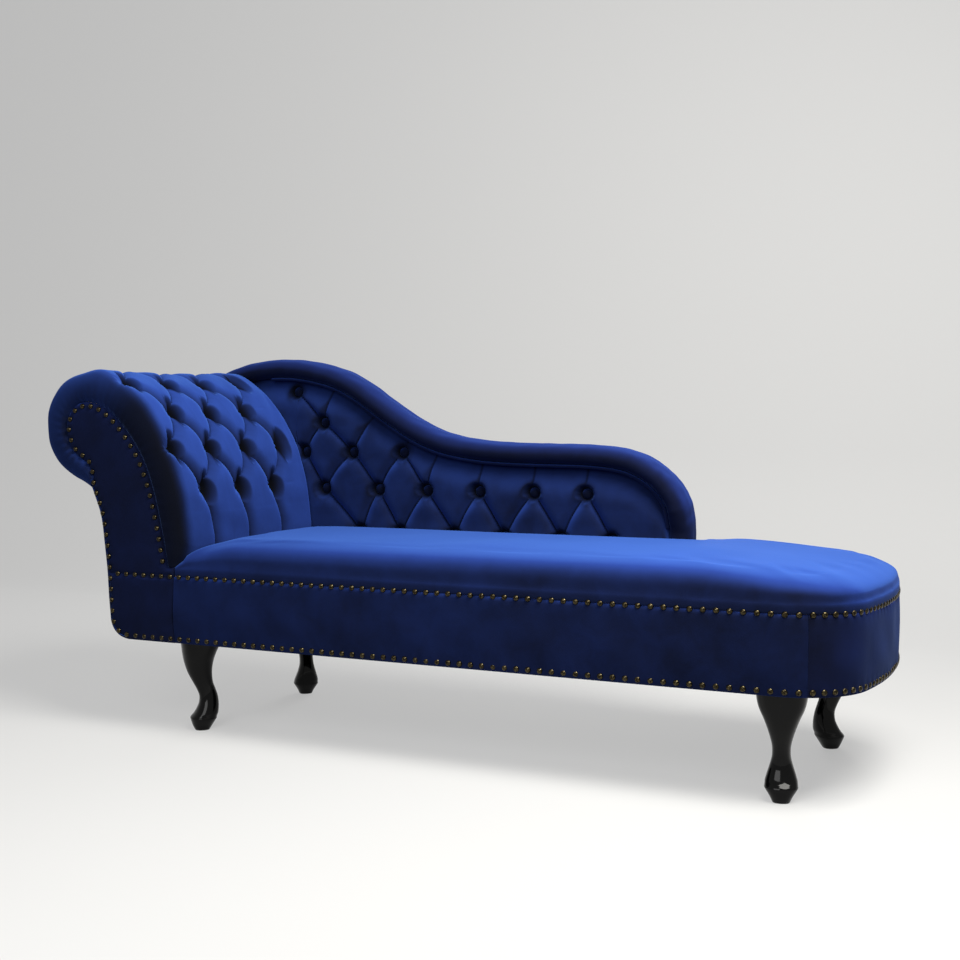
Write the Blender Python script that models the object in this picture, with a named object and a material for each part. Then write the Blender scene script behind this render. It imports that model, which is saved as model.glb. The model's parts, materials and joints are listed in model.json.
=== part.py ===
"""Chaise longue: a scrolled, deep-buttoned head, a tufted back that sweeps down along the rear side,
a long seat with a rounded foot end, and four cabriole legs.

Metres, +Z up. +X runs along the seat towards the foot, -Y is the open front side, and the floor is z = 0.
"""

import math

import bmesh
import bpy
from mathutils import Vector
from mathutils.geometry import delaunay_2d_cdt

# Fits
GAP = 0.0003
CUT_PAST = 0.010

# Base outline in plan
DEPTH = 0.548
FRONT = -DEPTH / 2
REAR = DEPTH / 2
FOOT_END = 0.832
CORNER_RADIUS = 0.130
END_BOW_RADIUS = 0.950
BAND_SEAM_X = 0.742
HEAD_SEAM_X = -0.506
PANEL_PAST_SEAM = 0.004

# Heights
BASE_BOTTOM = 0.1855
RAIL_BOTTOM = 0.190
RAIL_TOP = 0.330
SEAT_SEAM_Z = 0.318
SEAM_CLEAR = 0.004
SEAT_EDGE_Z = 0.345
SEAT_ROUND = 0.044
SEAT_CROWN = 0.009

# Stock
COVER = 0.005
RAIL = 0.022
SCROLL_PANEL = 0.018
BACK_BOARD = 0.0036
HEAD_BOARD = 0.006
SHEET = 0.0015
MIDDLE_RAIL_HEIGHT = 0.060

# Seat: the cover's slope after its round edge, by inset along the open sides, inset along the tucked ones
# and share of the crown, then the space inside it
SEAT_HEAD_X = -0.4877
SEAT_SLOPE = [(0.082, 0.065, 0.7), (0.118, 0.105, 1.0)]
SEAT_TUCKED_ROUND = 0.6
SEAT_FOAM_INSET = 0.0108
SEAT_FOAM_TOP_INSET = 0.036
SEAT_FOAM_EDGE_Z = 0.355
SEAT_PLAN_X = (-0.20, 0.10, 0.40)
SEAT_CORNER_STEP = 0.003
STRAP_WIDTH = 0.050
STRAP = 0.002
STRAP_COUNT = 7
STRAP_FIRST_X = -0.410
STRAP_PITCH = 0.165
LONG_STRAP_Y = 0.085
LONG_STRAP_FROM = -0.478
LONG_STRAP_TO = 0.815
SEAT_FOAM_TOP = 0.3777

# Legs, as turned on their bolts: sole centre and the way that the toe points
LEGS = {
    "front_head": (-0.494, FRONT + 0.073, 225.0),
    "rear_head": (-0.510, REAR - 0.073, 135.0),
    "front_foot": (FOOT_END - 0.144, FRONT + 0.068, 283.0),
    "rear_foot": (FOOT_END - 0.144, REAR - 0.071, 38.0),
}
LEG_BLOCK_HALF = 0.042
LEG_BLOCK_TOP = 0.228
LEG_BLOCK_INNER = 0.082
CROSS_RAIL_OFFSET = 0.026
BOLT_RADIUS = 0.004
BOLT_BORE = 0.0043
BOLT_BOTTOM = 0.150
BOLT_BORE_BELOW = 0.002
BOLT_SIDES = 12
BOLT_HEAD = 0.0075
BOLT_HEAD_HEIGHT = 0.0065
WASHER_RADIUS = 0.010
WASHER = 0.0016
LEG_HOLE_RADIUS = 0.050
LEG_HOLE_SIDES = 20

# Head pad: its outer surface and the nail line of the facing, paired from the seat over the scroll to the
# throat
HEAD_SURFACE = [
    (-0.488, 0.338), (-0.489, 0.400), (-0.503, 0.490), (-0.545, 0.590), (-0.612, 0.677), (-0.690, 0.726),
    (-0.748, 0.719), (-0.797, 0.690), (-0.824, 0.642), (-0.8245, 0.596), (-0.802, 0.554), (-0.767, 0.521),
    (-0.738, 0.503), (-0.716, 0.492),
]
HEAD_NAILS = [
    (-0.530, 0.338), (-0.543, 0.402), (-0.566, 0.490), (-0.598, 0.560), (-0.650, 0.622), (-0.697, 0.653),
    (-0.735, 0.658), (-0.760, 0.645), (-0.772, 0.622), (-0.770, 0.600), (-0.761, 0.577), (-0.745, 0.562),
    (-0.722, 0.548), (-0.708, 0.522),
]
FACING_PAST_NAILS = 0.008
PANEL_PAST_NAILS = 0.013
HEAD_PAD = 0.036
HEAD_PAD_SHARE = 0.6
HEAD_PAD_REAR_DROP = 0.006
HEAD_FOAM = 0.0217
HEAD_FOAM_END = 0.690
SEAT_TUCK = 0.058
BORDER_ROUND = 0.035
BORDER_ROUND_SHARE = 0.85
SCROLL_FROM_X = -0.620
SCROLL_FULL_X = -0.660
HEAD_STRETCHERS = {"head_lower_stretcher": 0.055, "head_middle_stretcher": 0.245, "head_top_stretcher": 0.480}
STRETCHER_WIDTH = 0.050
STRETCHER_EASE = 0.002

# Outside of the head, from the throat down to the base, and the round corner under it
OUTSIDE_LINE = [(-0.7156, 0.4910), (-0.694, 0.438), (-0.684, 0.385), (-0.677, 0.329), (-0.673, 0.268)]
OUTSIDE_BASE_X = -0.670
OUTSIDE_CORNER = 0.045
THROAT_RAIL = (-0.691, 0.496, 0.022, 0.034)
HEAD_RAIL_X = -0.6645
HEAD_RAIL_BOTTOM = 0.235

# Stack of the back, from its outside cover to the face that its buttons are drawn into
BACK_PAD = 0.0357
BACK_FOAM = 0.0102
BACK_FRAME_FACE = REAR - COVER - GAP - SCROLL_PANEL - GAP
BACK_FACE = BACK_FRAME_FACE - BACK_BOARD - GAP - BACK_FOAM - GAP - BACK_PAD
SEAT_BACK_Y = BACK_FACE - 2 * GAP
HEAD_PAD_REAR = BACK_FACE - 2 * GAP

# Back: the line along the top of its roll, from the throat round the scroll to the seat
ROLL_LINE = [
    (-0.716, 0.492), (-0.739, 0.503), (-0.777, 0.527), (-0.811, 0.566), (-0.828, 0.612), (-0.822, 0.657),
    (-0.795, 0.700), (-0.748, 0.737), (-0.690, 0.759), (-0.620, 0.770), (-0.550, 0.771), (-0.480, 0.761),
    (-0.414, 0.743), (-0.354, 0.713), (-0.290, 0.671), (-0.222, 0.630), (-0.158, 0.603), (-0.084, 0.588),
    (0.000, 0.581), (0.095, 0.579), (0.189, 0.577), (0.261, 0.569), (0.315, 0.550), (0.362, 0.516),
    (0.392, 0.474), (0.403, 0.430), (0.405, 0.384), (0.405, 0.3367),
]
ROLL_DROP = 0.0415
ROLL_OVERHANG = 0.0275
ROLL_HINGE = 0.0142
ROLL_TAIL = 0.004
SCROLL_PAD_CLEAR = 0.0013
SCROLL_PAD_REAR = BACK_FACE + ROLL_HINGE - ROLL_OVERHANG - SCROLL_PAD_CLEAR
ROLL_SLIMS_FROM_Z = 0.450
ROLL_SLIM_AT_Z = 0.402
ROLL_SLIM_SHARE = 0.5
TOP_RAIL_DROP = 0.0225
TOP_RAIL_WIDTH = 0.0375
TOP_RAIL_HEAD_X = -0.700
POST_WIDTH = 0.040
POST_AFTER_STRAP = {"back_head_post": 1, "back_middle_post": 3}
BACK_BEHIND_HEAD = 0.040
WELT_RADIUS = 0.0032
WELT_FROM_X = -0.600
WELT_TO_Z = 0.410
ROLL_STEP = 0.042
FILLING_EASE = 0.0009

# Deep buttoning: rows on the head lie along its surface, rows on the back lie level
HEAD_ROW_FIRST = 0.152
HEAD_ROW_PITCH = 0.096
HEAD_ROWS = 5
HEAD_COLUMN_PITCH = 0.120
HEAD_COLUMN_FIRST = FRONT + 0.084
HEAD_CLEAR_OF_BACK = 0.015
BACK_ROW_FIRST = 0.409
BACK_ROW_PITCH = 0.0725
BACK_ROWS = 5
BACK_COLUMN_PITCH = 0.1215
BACK_COLUMN_FIRST = -0.420
BACK_LEAN = -0.009
BACK_LAST_BUTTON_X = 0.250
BACK_CLEAR_OF_HEAD = 0.060
BACK_CLEAR_OF_ROLL = 0.024
BACK_GRID_CLEAR = 0.009
BACK_HEAD_END = 0.460
BACK_ROLL_START = 0.450
BACK_FOOT_CLEAR = 0.012
GRID_STEPS = 3
BUTTON_DEPTH = 0.024
FOLD_DEPTH = 0.011
PLEAT_DEPTH = 0.007
PUFF_CROWN = 0.006
PUFF_RADIUS = 0.046

# Leg outline, height above the floor: centre and half depth along the toe, half width across it
LEG_SECTIONS = [
    (0.0000, 0.0000, 0.0140, 0.0140), (0.0100, -0.0005, 0.0200, 0.0190), (0.0260, -0.0028, 0.0262, 0.0272),
    (0.0350, -0.0080, 0.0240, 0.0262), (0.0450, -0.0114, 0.0217, 0.0232), (0.0560, -0.0134, 0.0196, 0.0196),
    (0.0700, -0.0125, 0.0184, 0.0160), (0.0840, -0.0075, 0.0188, 0.0151), (0.0980, -0.0015, 0.0202, 0.0165),
    (0.1180, 0.0044, 0.0245, 0.0218), (0.1380, 0.0065, 0.0290, 0.0290), (0.1560, 0.0055, 0.0335, 0.0370),
    (0.1720, 0.0030, 0.0380, 0.0412),
]
LEG_TOP_CENTRE = 0.0010
LEG_TOP_HALF = 0.0425
LEG_SIDES = 16
LEG_SQUARENESS = 2.4

VELVET = ("royal_blue_velvet", (0.020, 0.045, 0.240), 0.85, 0.0)
LACQUER = ("black_lacquer", (0.006, 0.006, 0.007), 0.12, 0.0)
BEECH = ("beech", (0.50, 0.34, 0.19), 0.6, 0.0)
PLYWOOD = ("plywood", (0.58, 0.44, 0.27), 0.65, 0.0)
FOAM = ("polyurethane_foam", (0.80, 0.76, 0.55), 0.9, 0.0)
WEBBING = ("jute_webbing", (0.42, 0.32, 0.19), 0.9, 0.0)
CAMBRIC = ("black_cambric", (0.02, 0.02, 0.02), 0.9, 0.0)
STEEL = ("zinc_plated_steel", (0.60, 0.60, 0.58), 0.35, 1.0)


def clear_scene():
    for obj in list(bpy.data.objects):
        bpy.data.objects.remove(obj, do_unlink=True)


def material(finish):
    name, colour, roughness, metallic = finish
    found = bpy.data.materials.get(name)
    if found:
        return found
    made = bpy.data.materials.new(name)
    made.use_nodes = True
    shader = made.node_tree.nodes["Principled BSDF"]
    shader.inputs["Base Color"].default_value = (*colour, 1.0)
    shader.inputs["Roughness"].default_value = roughness
    shader.inputs["Metallic"].default_value = metallic
    return made


def finish_object(name, build, finish, smooth_above=None):
    """Turns a bmesh into a named object with outward faces. Edges sharper than smooth_above stay sharp."""
    bmesh.ops.recalc_face_normals(build, faces=build.faces)
    mesh = bpy.data.meshes.new(name)
    build.to_mesh(mesh)
    build.free()
    mesh.materials.append(material(finish))
    if smooth_above is not None:
        mesh.shade_smooth()
        mesh.set_sharp_from_angle(angle=math.radians(smooth_above))
    obj = bpy.data.objects.new(name, mesh)
    bpy.context.scene.collection.objects.link(obj)
    return obj


def loft(name, rings, finish, smooth_above=None, follow_relief=False):
    """A closed body through rings of equally many points, with flat ends. follow_relief splits each bent face
    along its shorter diagonal, so that folds run unbroken."""
    build = bmesh.new()
    loops = [[build.verts.new(point) for point in ring] for ring in rings]
    for low, high in zip(loops, loops[1:]):
        count = len(low)
        for i in range(count):
            a, b, c, d = low[i], low[(i + 1) % count], high[(i + 1) % count], high[i]
            if not follow_relief:
                build.faces.new((a, b, c, d))
                continue
            centre = sum((v.co for v in (a, b, c, d)), Vector()) / 4
            flat = ((a.co + c.co) / 2 - centre).length < 1e-7
            if flat or (a.co - c.co).length < (b.co - d.co).length:
                build.faces.new((a, b, c))
                build.faces.new((a, c, d))
            else:
                build.faces.new((a, b, d))
                build.faces.new((b, c, d))
    build.faces.new(loops[0])
    build.faces.new(list(reversed(loops[-1])))
    return finish_object(name, build, finish, smooth_above)


def prism(name, outline, axis, low, high, finish, smooth_above=None):
    """A flat plate: a closed outline pushed along an axis. The outline's points are in the other two axes."""
    def place(point, along):
        u, v = point
        return {"x": (along, u, v), "y": (u, along, v), "z": (u, v, along)}[axis]

    rings = [[place(point, along) for point in outline] for along in (low, high)]
    return loft(name, rings, finish, smooth_above)


def box(name, x, y, z, finish):
    corners = [(x[0], y[0]), (x[1], y[0]), (x[1], y[1]), (x[0], y[1])]
    return prism(name, corners, "z", z[0], z[1], finish)


def spline(points, steps):
    """A smooth curve through the points, with this many steps between neighbours."""
    points = [Vector(point) for point in points]
    ends = [2 * points[0] - points[1]] + points + [2 * points[-1] - points[-2]]
    curve = []
    for before, start, end, after in zip(ends, ends[1:], ends[2:], ends[3:]):
        for i in range(steps):
            t = i / steps
            curve.append(
                0.5 * (2 * start + (end - before) * t + (2 * before - 5 * start + 4 * end - after) * t**2
                       + (3 * start - before - 3 * end + after) * t**3)
            )
    curve.append(points[-1])
    return curve


def arc(centre, radius, start, end, steps):
    """Points on a circle, from one angle to another in degrees."""
    return [
        (centre[0] + radius * math.cos(math.radians(start + (end - start) * i / steps)),
         centre[1] + radius * math.sin(math.radians(start + (end - start) * i / steps)))
        for i in range(steps + 1)
    ]


def offset(points, distance):
    """The open line moved to the right of its direction."""
    moved = []
    for i, point in enumerate(points):
        before = Vector(points[max(i - 1, 0)])
        after = Vector(points[min(i + 1, len(points) - 1)])
        along = (after - before).normalized()
        moved.append((point[0] + along.y * distance, point[1] - along.x * distance))
    return moved


class Route:
    """A smooth line that can be asked for a place at a distance along it."""

    def __init__(self, points, steps=8):
        self.points = spline(points, steps)
        self.marks = [0.0]
        for start, end in zip(self.points, self.points[1:]):
            self.marks.append(self.marks[-1] + (end - start).length)
        self.length = self.marks[-1]

    def place(self, distance):
        """Index of the stretch that holds the distance, and the share of it that is covered."""
        distance = min(max(distance, 0.0), self.length)
        for i in range(len(self.points) - 1):
            if distance <= self.marks[i + 1]:
                return i, (distance - self.marks[i]) / (self.marks[i + 1] - self.marks[i])
        return len(self.points) - 2, 1.0

    def at(self, distance):
        i, share = self.place(distance)
        return self.points[i].lerp(self.points[i + 1], share)

    def inward(self, distance):
        """The unit vector to the right of the line."""
        reach = 0.004
        along = (self.at(distance + reach) - self.at(distance - reach)).normalized()
        return Vector((along.y, -along.x))

    def even(self, start, end, step):
        """Distances from start to end, about one step apart."""
        count = max(1, round((end - start) / step))
        return [start + (end - start) * i / count for i in range(count + 1)]

    def height_at(self, x):
        """Height of the line where it last passes this x."""
        for start, end in zip(reversed(self.points[:-1]), reversed(self.points[1:])):
            if min(start.x, end.x) <= x <= max(start.x, end.x) and start.x != end.x:
                return start.y + (end.y - start.y) * (x - start.x) / (end.x - start.x)
        return 0.0


HEAD_ROUTE = Route(HEAD_SURFACE)
NAIL_CURVE = spline(HEAD_NAILS, 8)
ROLL_ROUTE = Route(ROLL_LINE)
ROLL_STATIONS = ROLL_ROUTE.even(0.0, ROLL_ROUTE.length, ROLL_STEP)


def head_stations():
    """Distances along the head where its sections lie, so that rows of buttons fall on them."""
    step = HEAD_ROW_PITCH / GRID_STEPS
    first = HEAD_ROW_FIRST - step * int(HEAD_ROW_FIRST / step)
    if first < step / 3:
        first += step
    count = int((HEAD_ROUTE.length - first) / step - 1 / 3) + 1
    return [0.0] + [first + i * step for i in range(count)] + [HEAD_ROUTE.length]


def head_spoke(distance):
    """Surface point of the head pad, the unit vector from it to the nail line and the length between."""
    i, share = HEAD_ROUTE.place(distance)
    surface = HEAD_ROUTE.at(distance)
    nail = NAIL_CURVE[i].lerp(NAIL_CURVE[i + 1], share)
    return surface, (nail - surface).normalized(), (nail - surface).length


def head_point(distance, depth):
    surface, inward, _ = head_spoke(distance)
    return surface + inward * depth


def nail_edge(margin):
    """The line that runs a margin outside the nails of the facing."""
    return [tuple(head_point(distance, head_spoke(distance)[2] - margin)) for distance in head_stations()]


def outside_line(inset):
    """The outside of the head from the throat to the underside of the base, moved inwards."""
    side = offset(spline(OUTSIDE_LINE + [(OUTSIDE_BASE_X, BASE_BOTTOM + OUTSIDE_CORNER)], 3), -inset)
    centre = (OUTSIDE_BASE_X + OUTSIDE_CORNER, BASE_BOTTOM + OUTSIDE_CORNER)
    return side[:-1] + arc(centre, OUTSIDE_CORNER - inset, 180, 270, 6)


def corner_centre():
    """Centre of the round corner in plan, and the angle where it runs into the bow of the end."""
    side = DEPTH / 2 - CORNER_RADIUS
    reach = END_BOW_RADIUS - CORNER_RADIUS
    centre_x = FOOT_END - END_BOW_RADIUS + math.sqrt(reach**2 - side**2)
    return centre_x, side, math.degrees(math.asin(side / reach))


def seam_angle():
    """Angle on the corner where the seam between the long and the foot band lies."""
    return math.degrees(math.acos((BAND_SEAM_X - corner_centre()[0]) / CORNER_RADIUS))


def corner_angles():
    """Angles of the corner's points, from the long side past the seam to the bow of the end."""
    seam, meet = seam_angle(), corner_centre()[2]
    first = [90 + (seam - 90) * i / 3 for i in range(3)]
    return first + [seam + (meet - seam) * i / 6 for i in range(7)]


def corner_points(inset, sign, from_angle=90.0, to_angle=0.0):
    """Points of one round corner between two angles, the front corner with sign -1."""
    centre_x, side, _ = corner_centre()
    radius = CORNER_RADIUS - inset
    angles = [angle for angle in corner_angles() if to_angle - 0.01 < angle < from_angle + 0.01]
    if from_angle - angles[0] > 0.01:
        angles.insert(0, from_angle)
    turns = [math.radians(angle) for angle in angles]
    return [(centre_x + radius * math.cos(t), sign * (side + radius * math.sin(t))) for t in turns]


def foot_curve(inset, from_angle=90.0):
    """The rounded foot end in plan, from an angle on its front corner to the same angle on its rear one."""
    meet = corner_centre()[2]
    bow = arc((FOOT_END - END_BOW_RADIUS, 0.0), END_BOW_RADIUS - inset, -meet, meet, 6)
    front = corner_points(inset, -1, from_angle)
    rear = list(reversed(corner_points(inset, 1, from_angle)))
    return front[:-1] + bow + rear[1:]


def tuft_height(u, v, folds):
    """Height of a buttoned surface above its datum at a place on it. Each fold is a start, an end, the depth
    at both and the depth between."""
    place = Vector((u, v))
    height = PUFF_CROWN
    for start, end, depth_start, depth_end, middle in folds:
        run = end - start
        share = min(max((place - start).dot(run) / run.length_squared, 0.0), 1.0)
        distance = (place - (start + run * share)).length
        ends = depth_start + (depth_end - depth_start) * share
        depth = middle + (ends - middle) * abs(2 * share - 1) ** 3
        rise = math.sqrt(1 - (1 - min(distance / PUFF_RADIUS, 1.0)) ** 2)
        height = min(height, -depth + (depth + PUFF_CROWN) * rise)
    return height


def head_buttons():
    """Buttons of the head, row by row, as distances along the surface and across it."""
    rows = []
    for row in range(HEAD_ROWS):
        along = HEAD_ROW_FIRST + row * HEAD_ROW_PITCH
        first = HEAD_COLUMN_FIRST + (0.0 if row % 2 else HEAD_COLUMN_PITCH / 2)
        count = int((SCROLL_PAD_REAR - HEAD_CLEAR_OF_BACK - first) / HEAD_COLUMN_PITCH) + 1
        rows.append([Vector((along, first + i * HEAD_COLUMN_PITCH)) for i in range(count)])
    return rows


def head_folds():
    rows = head_buttons()
    folds = []
    for low, high in zip(rows, rows[1:]):
        for a in low:
            for b in high:
                if abs(a.y - b.y) < HEAD_COLUMN_PITCH * 0.6:
                    folds.append((a, b, BUTTON_DEPTH, BUTTON_DEPTH, FOLD_DEPTH))
    for button in rows[0]:
        folds.append((button, Vector((0.0, button.y)), BUTTON_DEPTH, PLEAT_DEPTH, PLEAT_DEPTH))
    for button in rows[-1]:
        end = Vector((HEAD_ROUTE.length - SEAT_ROUND, button.y))
        folds.append((button, end, BUTTON_DEPTH, PLEAT_DEPTH, PLEAT_DEPTH))
    for row in rows[1::2]:
        folds.append((row[-1], row[-1] + Vector((0.0, HEAD_ROW_PITCH)), BUTTON_DEPTH, FOLD_DEPTH, FOLD_DEPTH))
    return folds


def back_buttons():
    """Buttons of the back by row and column, where they clear the head, the roll and its foot end."""
    found = {}
    for row in range(BACK_ROWS):
        for column in range(-2, 8):
            half = 0.0 if row % 2 else BACK_COLUMN_PITCH / 2
            x = BACK_COLUMN_FIRST + column * BACK_COLUMN_PITCH + half + BACK_LEAN * (row - 1)
            z = BACK_ROW_FIRST + row * BACK_ROW_PITCH
            level = [p.x for p in HEAD_ROUTE.points if abs(p.y - z) < BACK_FOOT_CLEAR]
            head_x = min([x for x in level if x > TOP_RAIL_HEAD_X], default=SCROLL_FROM_X)
            under_roll = ROLL_ROUTE.height_at(x) - ROLL_DROP
            if head_x + BACK_CLEAR_OF_HEAD < x < BACK_LAST_BUTTON_X and z < under_roll - BACK_CLEAR_OF_ROLL:
                found[row, column] = Vector((x, z))
    return found


def back_neighbours(row, column):
    """The two places diagonally above a button."""
    shift = 1 if row % 2 == 0 else 0
    return (row + 1, column - 1 + shift), (row + 1, column + shift)


def back_folds():
    buttons = back_buttons()
    folds = []
    for (row, column), button in buttons.items():
        above = [buttons.get(key) for key in back_neighbours(row, column)]
        for other in above:
            if other is not None:
                folds.append((button, other, BUTTON_DEPTH, BUTTON_DEPTH, FOLD_DEPTH))
        if None in above:
            rise = ROLL_ROUTE.height_at(button.x) - ROLL_DROP - button.y
            top = button + Vector((BACK_LEAN * rise / BACK_ROW_PITCH, rise))
            folds.append((button, top, BUTTON_DEPTH, PLEAT_DEPTH, PLEAT_DEPTH))
        if row == 0:
            for side in (-0.5, 0.5):
                foot = button + Vector((side * BACK_COLUMN_PITCH, -BACK_ROW_PITCH))
                foot.x -= BACK_LEAN
                folds.append((button, foot, BUTTON_DEPTH, PLEAT_DEPTH, FOLD_DEPTH))
    return folds


def back_grid(outline):
    """Grid of the back inside its outline, by row and column, in thirds of the way between buttons."""
    across = BACK_COLUMN_PITCH / (2 * GRID_STEPS)
    up = BACK_ROW_PITCH / GRID_STEPS
    grid = {}
    for row in range(-4, 18):
        for column in range(-18, 46):
            lean = BACK_LEAN * (row / GRID_STEPS - 1)
            place = Vector((BACK_COLUMN_FIRST + column * across + lean, BACK_ROW_FIRST + row * up))
            if inside(place, outline):
                grid[row, column] = place
    return grid


def fold_steps(grid):
    """Pairs of grid places that follow one another along a fold or a pleat of the back."""
    steps = []
    buttons = back_buttons()
    for row, column in buttons:
        above = back_neighbours(row, column)
        start = (row * GRID_STEPS, column * 2 * GRID_STEPS + (GRID_STEPS if row % 2 == 0 else 0))
        runs = [side for side, key in zip((-1, 1), above) if key in buttons]
        if len(runs) < 2:
            runs.append(0)
        for side in runs:
            reach = GRID_STEPS if side else 4 * GRID_STEPS
            line = [(start[0] + i, start[1] + side * i) for i in range(reach + 1)]
            steps += [pair for pair in zip(line, line[1:]) if pair[0] in grid and pair[1] in grid]
    return steps


def build_base_frame():
    """Seat rails, cross rails and the blocks that take the legs."""
    centre_x, _, _ = corner_centre()
    outer = COVER + GAP
    rail_z = (RAIL_BOTTOM, RAIL_TOP)
    front = (FRONT + outer, FRONT + outer + RAIL)
    back_plane = REAR - outer - SCROLL_PANEL
    rear = (back_plane - GAP - RAIL, back_plane - GAP)
    panel_end = HEAD_SEAM_X - PANEL_PAST_SEAM
    box("front_rail", (panel_end + GAP, centre_x - GAP), front, rail_z, BEECH)
    box("back_bottom_rail", (panel_end + GAP, centre_x - GAP), (back_plane, REAR - outer), rail_z, BEECH)
    corner_x = OUTSIDE_BASE_X + OUTSIDE_CORNER
    box("rear_rail", (corner_x + GAP, centre_x - GAP), rear, rail_z, BEECH)
    head_z = (HEAD_RAIL_BOTTOM, RAIL_TOP)
    box("head_rail", (HEAD_RAIL_X, HEAD_RAIL_X + RAIL), (-rear[1], rear[1]), head_z, BEECH)
    bent = foot_curve(outer) + list(reversed(foot_curve(outer + RAIL)))
    prism("foot_rail", bent, "z", *rail_z, PLYWOOD, 30)
    cross_y = (front[1] + GAP, rear[0] - GAP)
    head_x = LEGS["front_head"][0] + CROSS_RAIL_OFFSET
    foot_x = LEGS["front_foot"][0] - CROSS_RAIL_OFFSET
    over_block = (LEG_BLOCK_TOP + GAP, RAIL_TOP)
    box("head_cross_rail", (head_x - RAIL / 2, head_x + RAIL / 2), cross_y, over_block, BEECH)
    box("foot_cross_rail", (foot_x - RAIL / 2, foot_x + RAIL / 2), cross_y, over_block, BEECH)
    middle_x = (head_x + foot_x) / 2
    middle_z = (RAIL_BOTTOM, RAIL_BOTTOM + MIDDLE_RAIL_HEIGHT)
    box("middle_cross_rail", (middle_x - RAIL / 2, middle_x + RAIL / 2), cross_y, middle_z, BEECH)
    for name, (x, y, _) in LEGS.items():
        build_leg_block(name, x, y, cross_y)


def build_leg_block(name, x, y, cross_y):
    """A block bored for the leg's bolt. The front foot block follows the bend of the foot rail."""
    low, high = x - LEG_BLOCK_HALF, x + LEG_BLOCK_HALF
    if y > 0:
        edge = [(high, cross_y[1]), (low, cross_y[1])]
        inner = [(low, cross_y[1] - LEG_BLOCK_INNER), (high, cross_y[1] - LEG_BLOCK_INNER)]
    else:
        bend = [point for point in foot_curve(COVER + GAP + RAIL + GAP) if point[1] < 0]
        edge, _ = split_at([(low, cross_y[0])] + bend, high)
        inner = [(high, cross_y[0] + LEG_BLOCK_INNER), (low, cross_y[0] + LEG_BLOCK_INNER)]
    block = prism(f"leg_block_{name}", edge + inner, "z", RAIL_BOTTOM, LEG_BLOCK_TOP, BEECH)
    centre = leg_top(x, y, LEGS[name][2])
    bore(block, centre, BOLT_BORE, RAIL_BOTTOM - CUT_PAST, LEG_BLOCK_TOP + CUT_PAST, BOLT_SIDES)


def bore(target, centre, radius, low, high, sides):
    """A round hole down through the target."""
    ring = arc(centre, radius, 0, 360, sides)[:-1]
    cutter = prism(f"{target.name}_cutter", ring, "z", low, high, STEEL)
    cutter.hide_render = True
    cutter.display_type = "WIRE"
    cut = target.modifiers.new(cutter.name, "BOOLEAN")
    cut.operation = "DIFFERENCE"
    cut.object = cutter


def leg_top(x, y, yaw):
    """Centre of the leg's top, a little behind its sole or in front of it along the toe."""
    angle = math.radians(yaw)
    return x + LEG_TOP_CENTRE * math.cos(angle), y + LEG_TOP_CENTRE * math.sin(angle)


def leg_ring(x, y, yaw, height, centre, half_depth, half_width):
    """A section of the leg: between an ellipse and a square, with its flat sides across the toe."""
    angle = math.radians(yaw)
    toe = Vector((math.cos(angle), math.sin(angle)))
    across = Vector((-toe.y, toe.x))
    ring = []
    for i in range(LEG_SIDES):
        turn = 2 * math.pi * i / LEG_SIDES
        c, s = math.cos(turn), math.sin(turn)
        u = math.copysign(abs(c) ** (2 / LEG_SQUARENESS), c) * half_depth + centre
        w = math.copysign(abs(s) ** (2 / LEG_SQUARENESS), s) * half_width
        ring.append((x + toe.x * u + across.x * w, y + toe.y * u + across.y * w, height))
    return ring


def build_legs():
    """Cabriole legs with a blind bore in the top, and the bolt that holds each one."""
    top = RAIL_BOTTOM - GAP
    for name, (x, y, yaw) in LEGS.items():
        rings = [leg_ring(x, y, yaw, *section) for section in LEG_SECTIONS]
        rings.append(leg_ring(x, y, yaw, top, LEG_TOP_CENTRE, LEG_TOP_HALF, LEG_TOP_HALF))
        for height in (top, BOLT_BOTTOM - BOLT_BORE_BELOW):
            rings.append(leg_ring(x, y, yaw, height, LEG_TOP_CENTRE, BOLT_BORE, BOLT_BORE))
        loft(f"leg_{name}", rings, LACQUER, 40)
        build_bolt(name, leg_top(x, y, yaw))


def build_bolt(name, centre):
    """A bolt with its washer and a six-sided head, seated on the leg block."""
    seat = LEG_BLOCK_TOP + GAP
    profile = [
        (BOLT_RADIUS, BOLT_BOTTOM), (BOLT_RADIUS, seat), (WASHER_RADIUS, seat),
        (WASHER_RADIUS, seat + WASHER), (BOLT_HEAD, seat + WASHER),
        (BOLT_HEAD, seat + WASHER + BOLT_HEAD_HEIGHT),
    ]
    rings = []
    for radius, height in profile:
        ring = []
        for i in range(BOLT_SIDES):
            turn = 2 * math.pi * i / BOLT_SIDES
            reach = radius * (math.cos(math.pi / 6) if radius == BOLT_HEAD and i % 2 else 1.0)
            ring.append((centre[0] + reach * math.cos(turn), centre[1] + reach * math.sin(turn), height))
        rings.append(ring)
    loft(f"leg_bolt_{name}", rings, STEEL)


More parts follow.
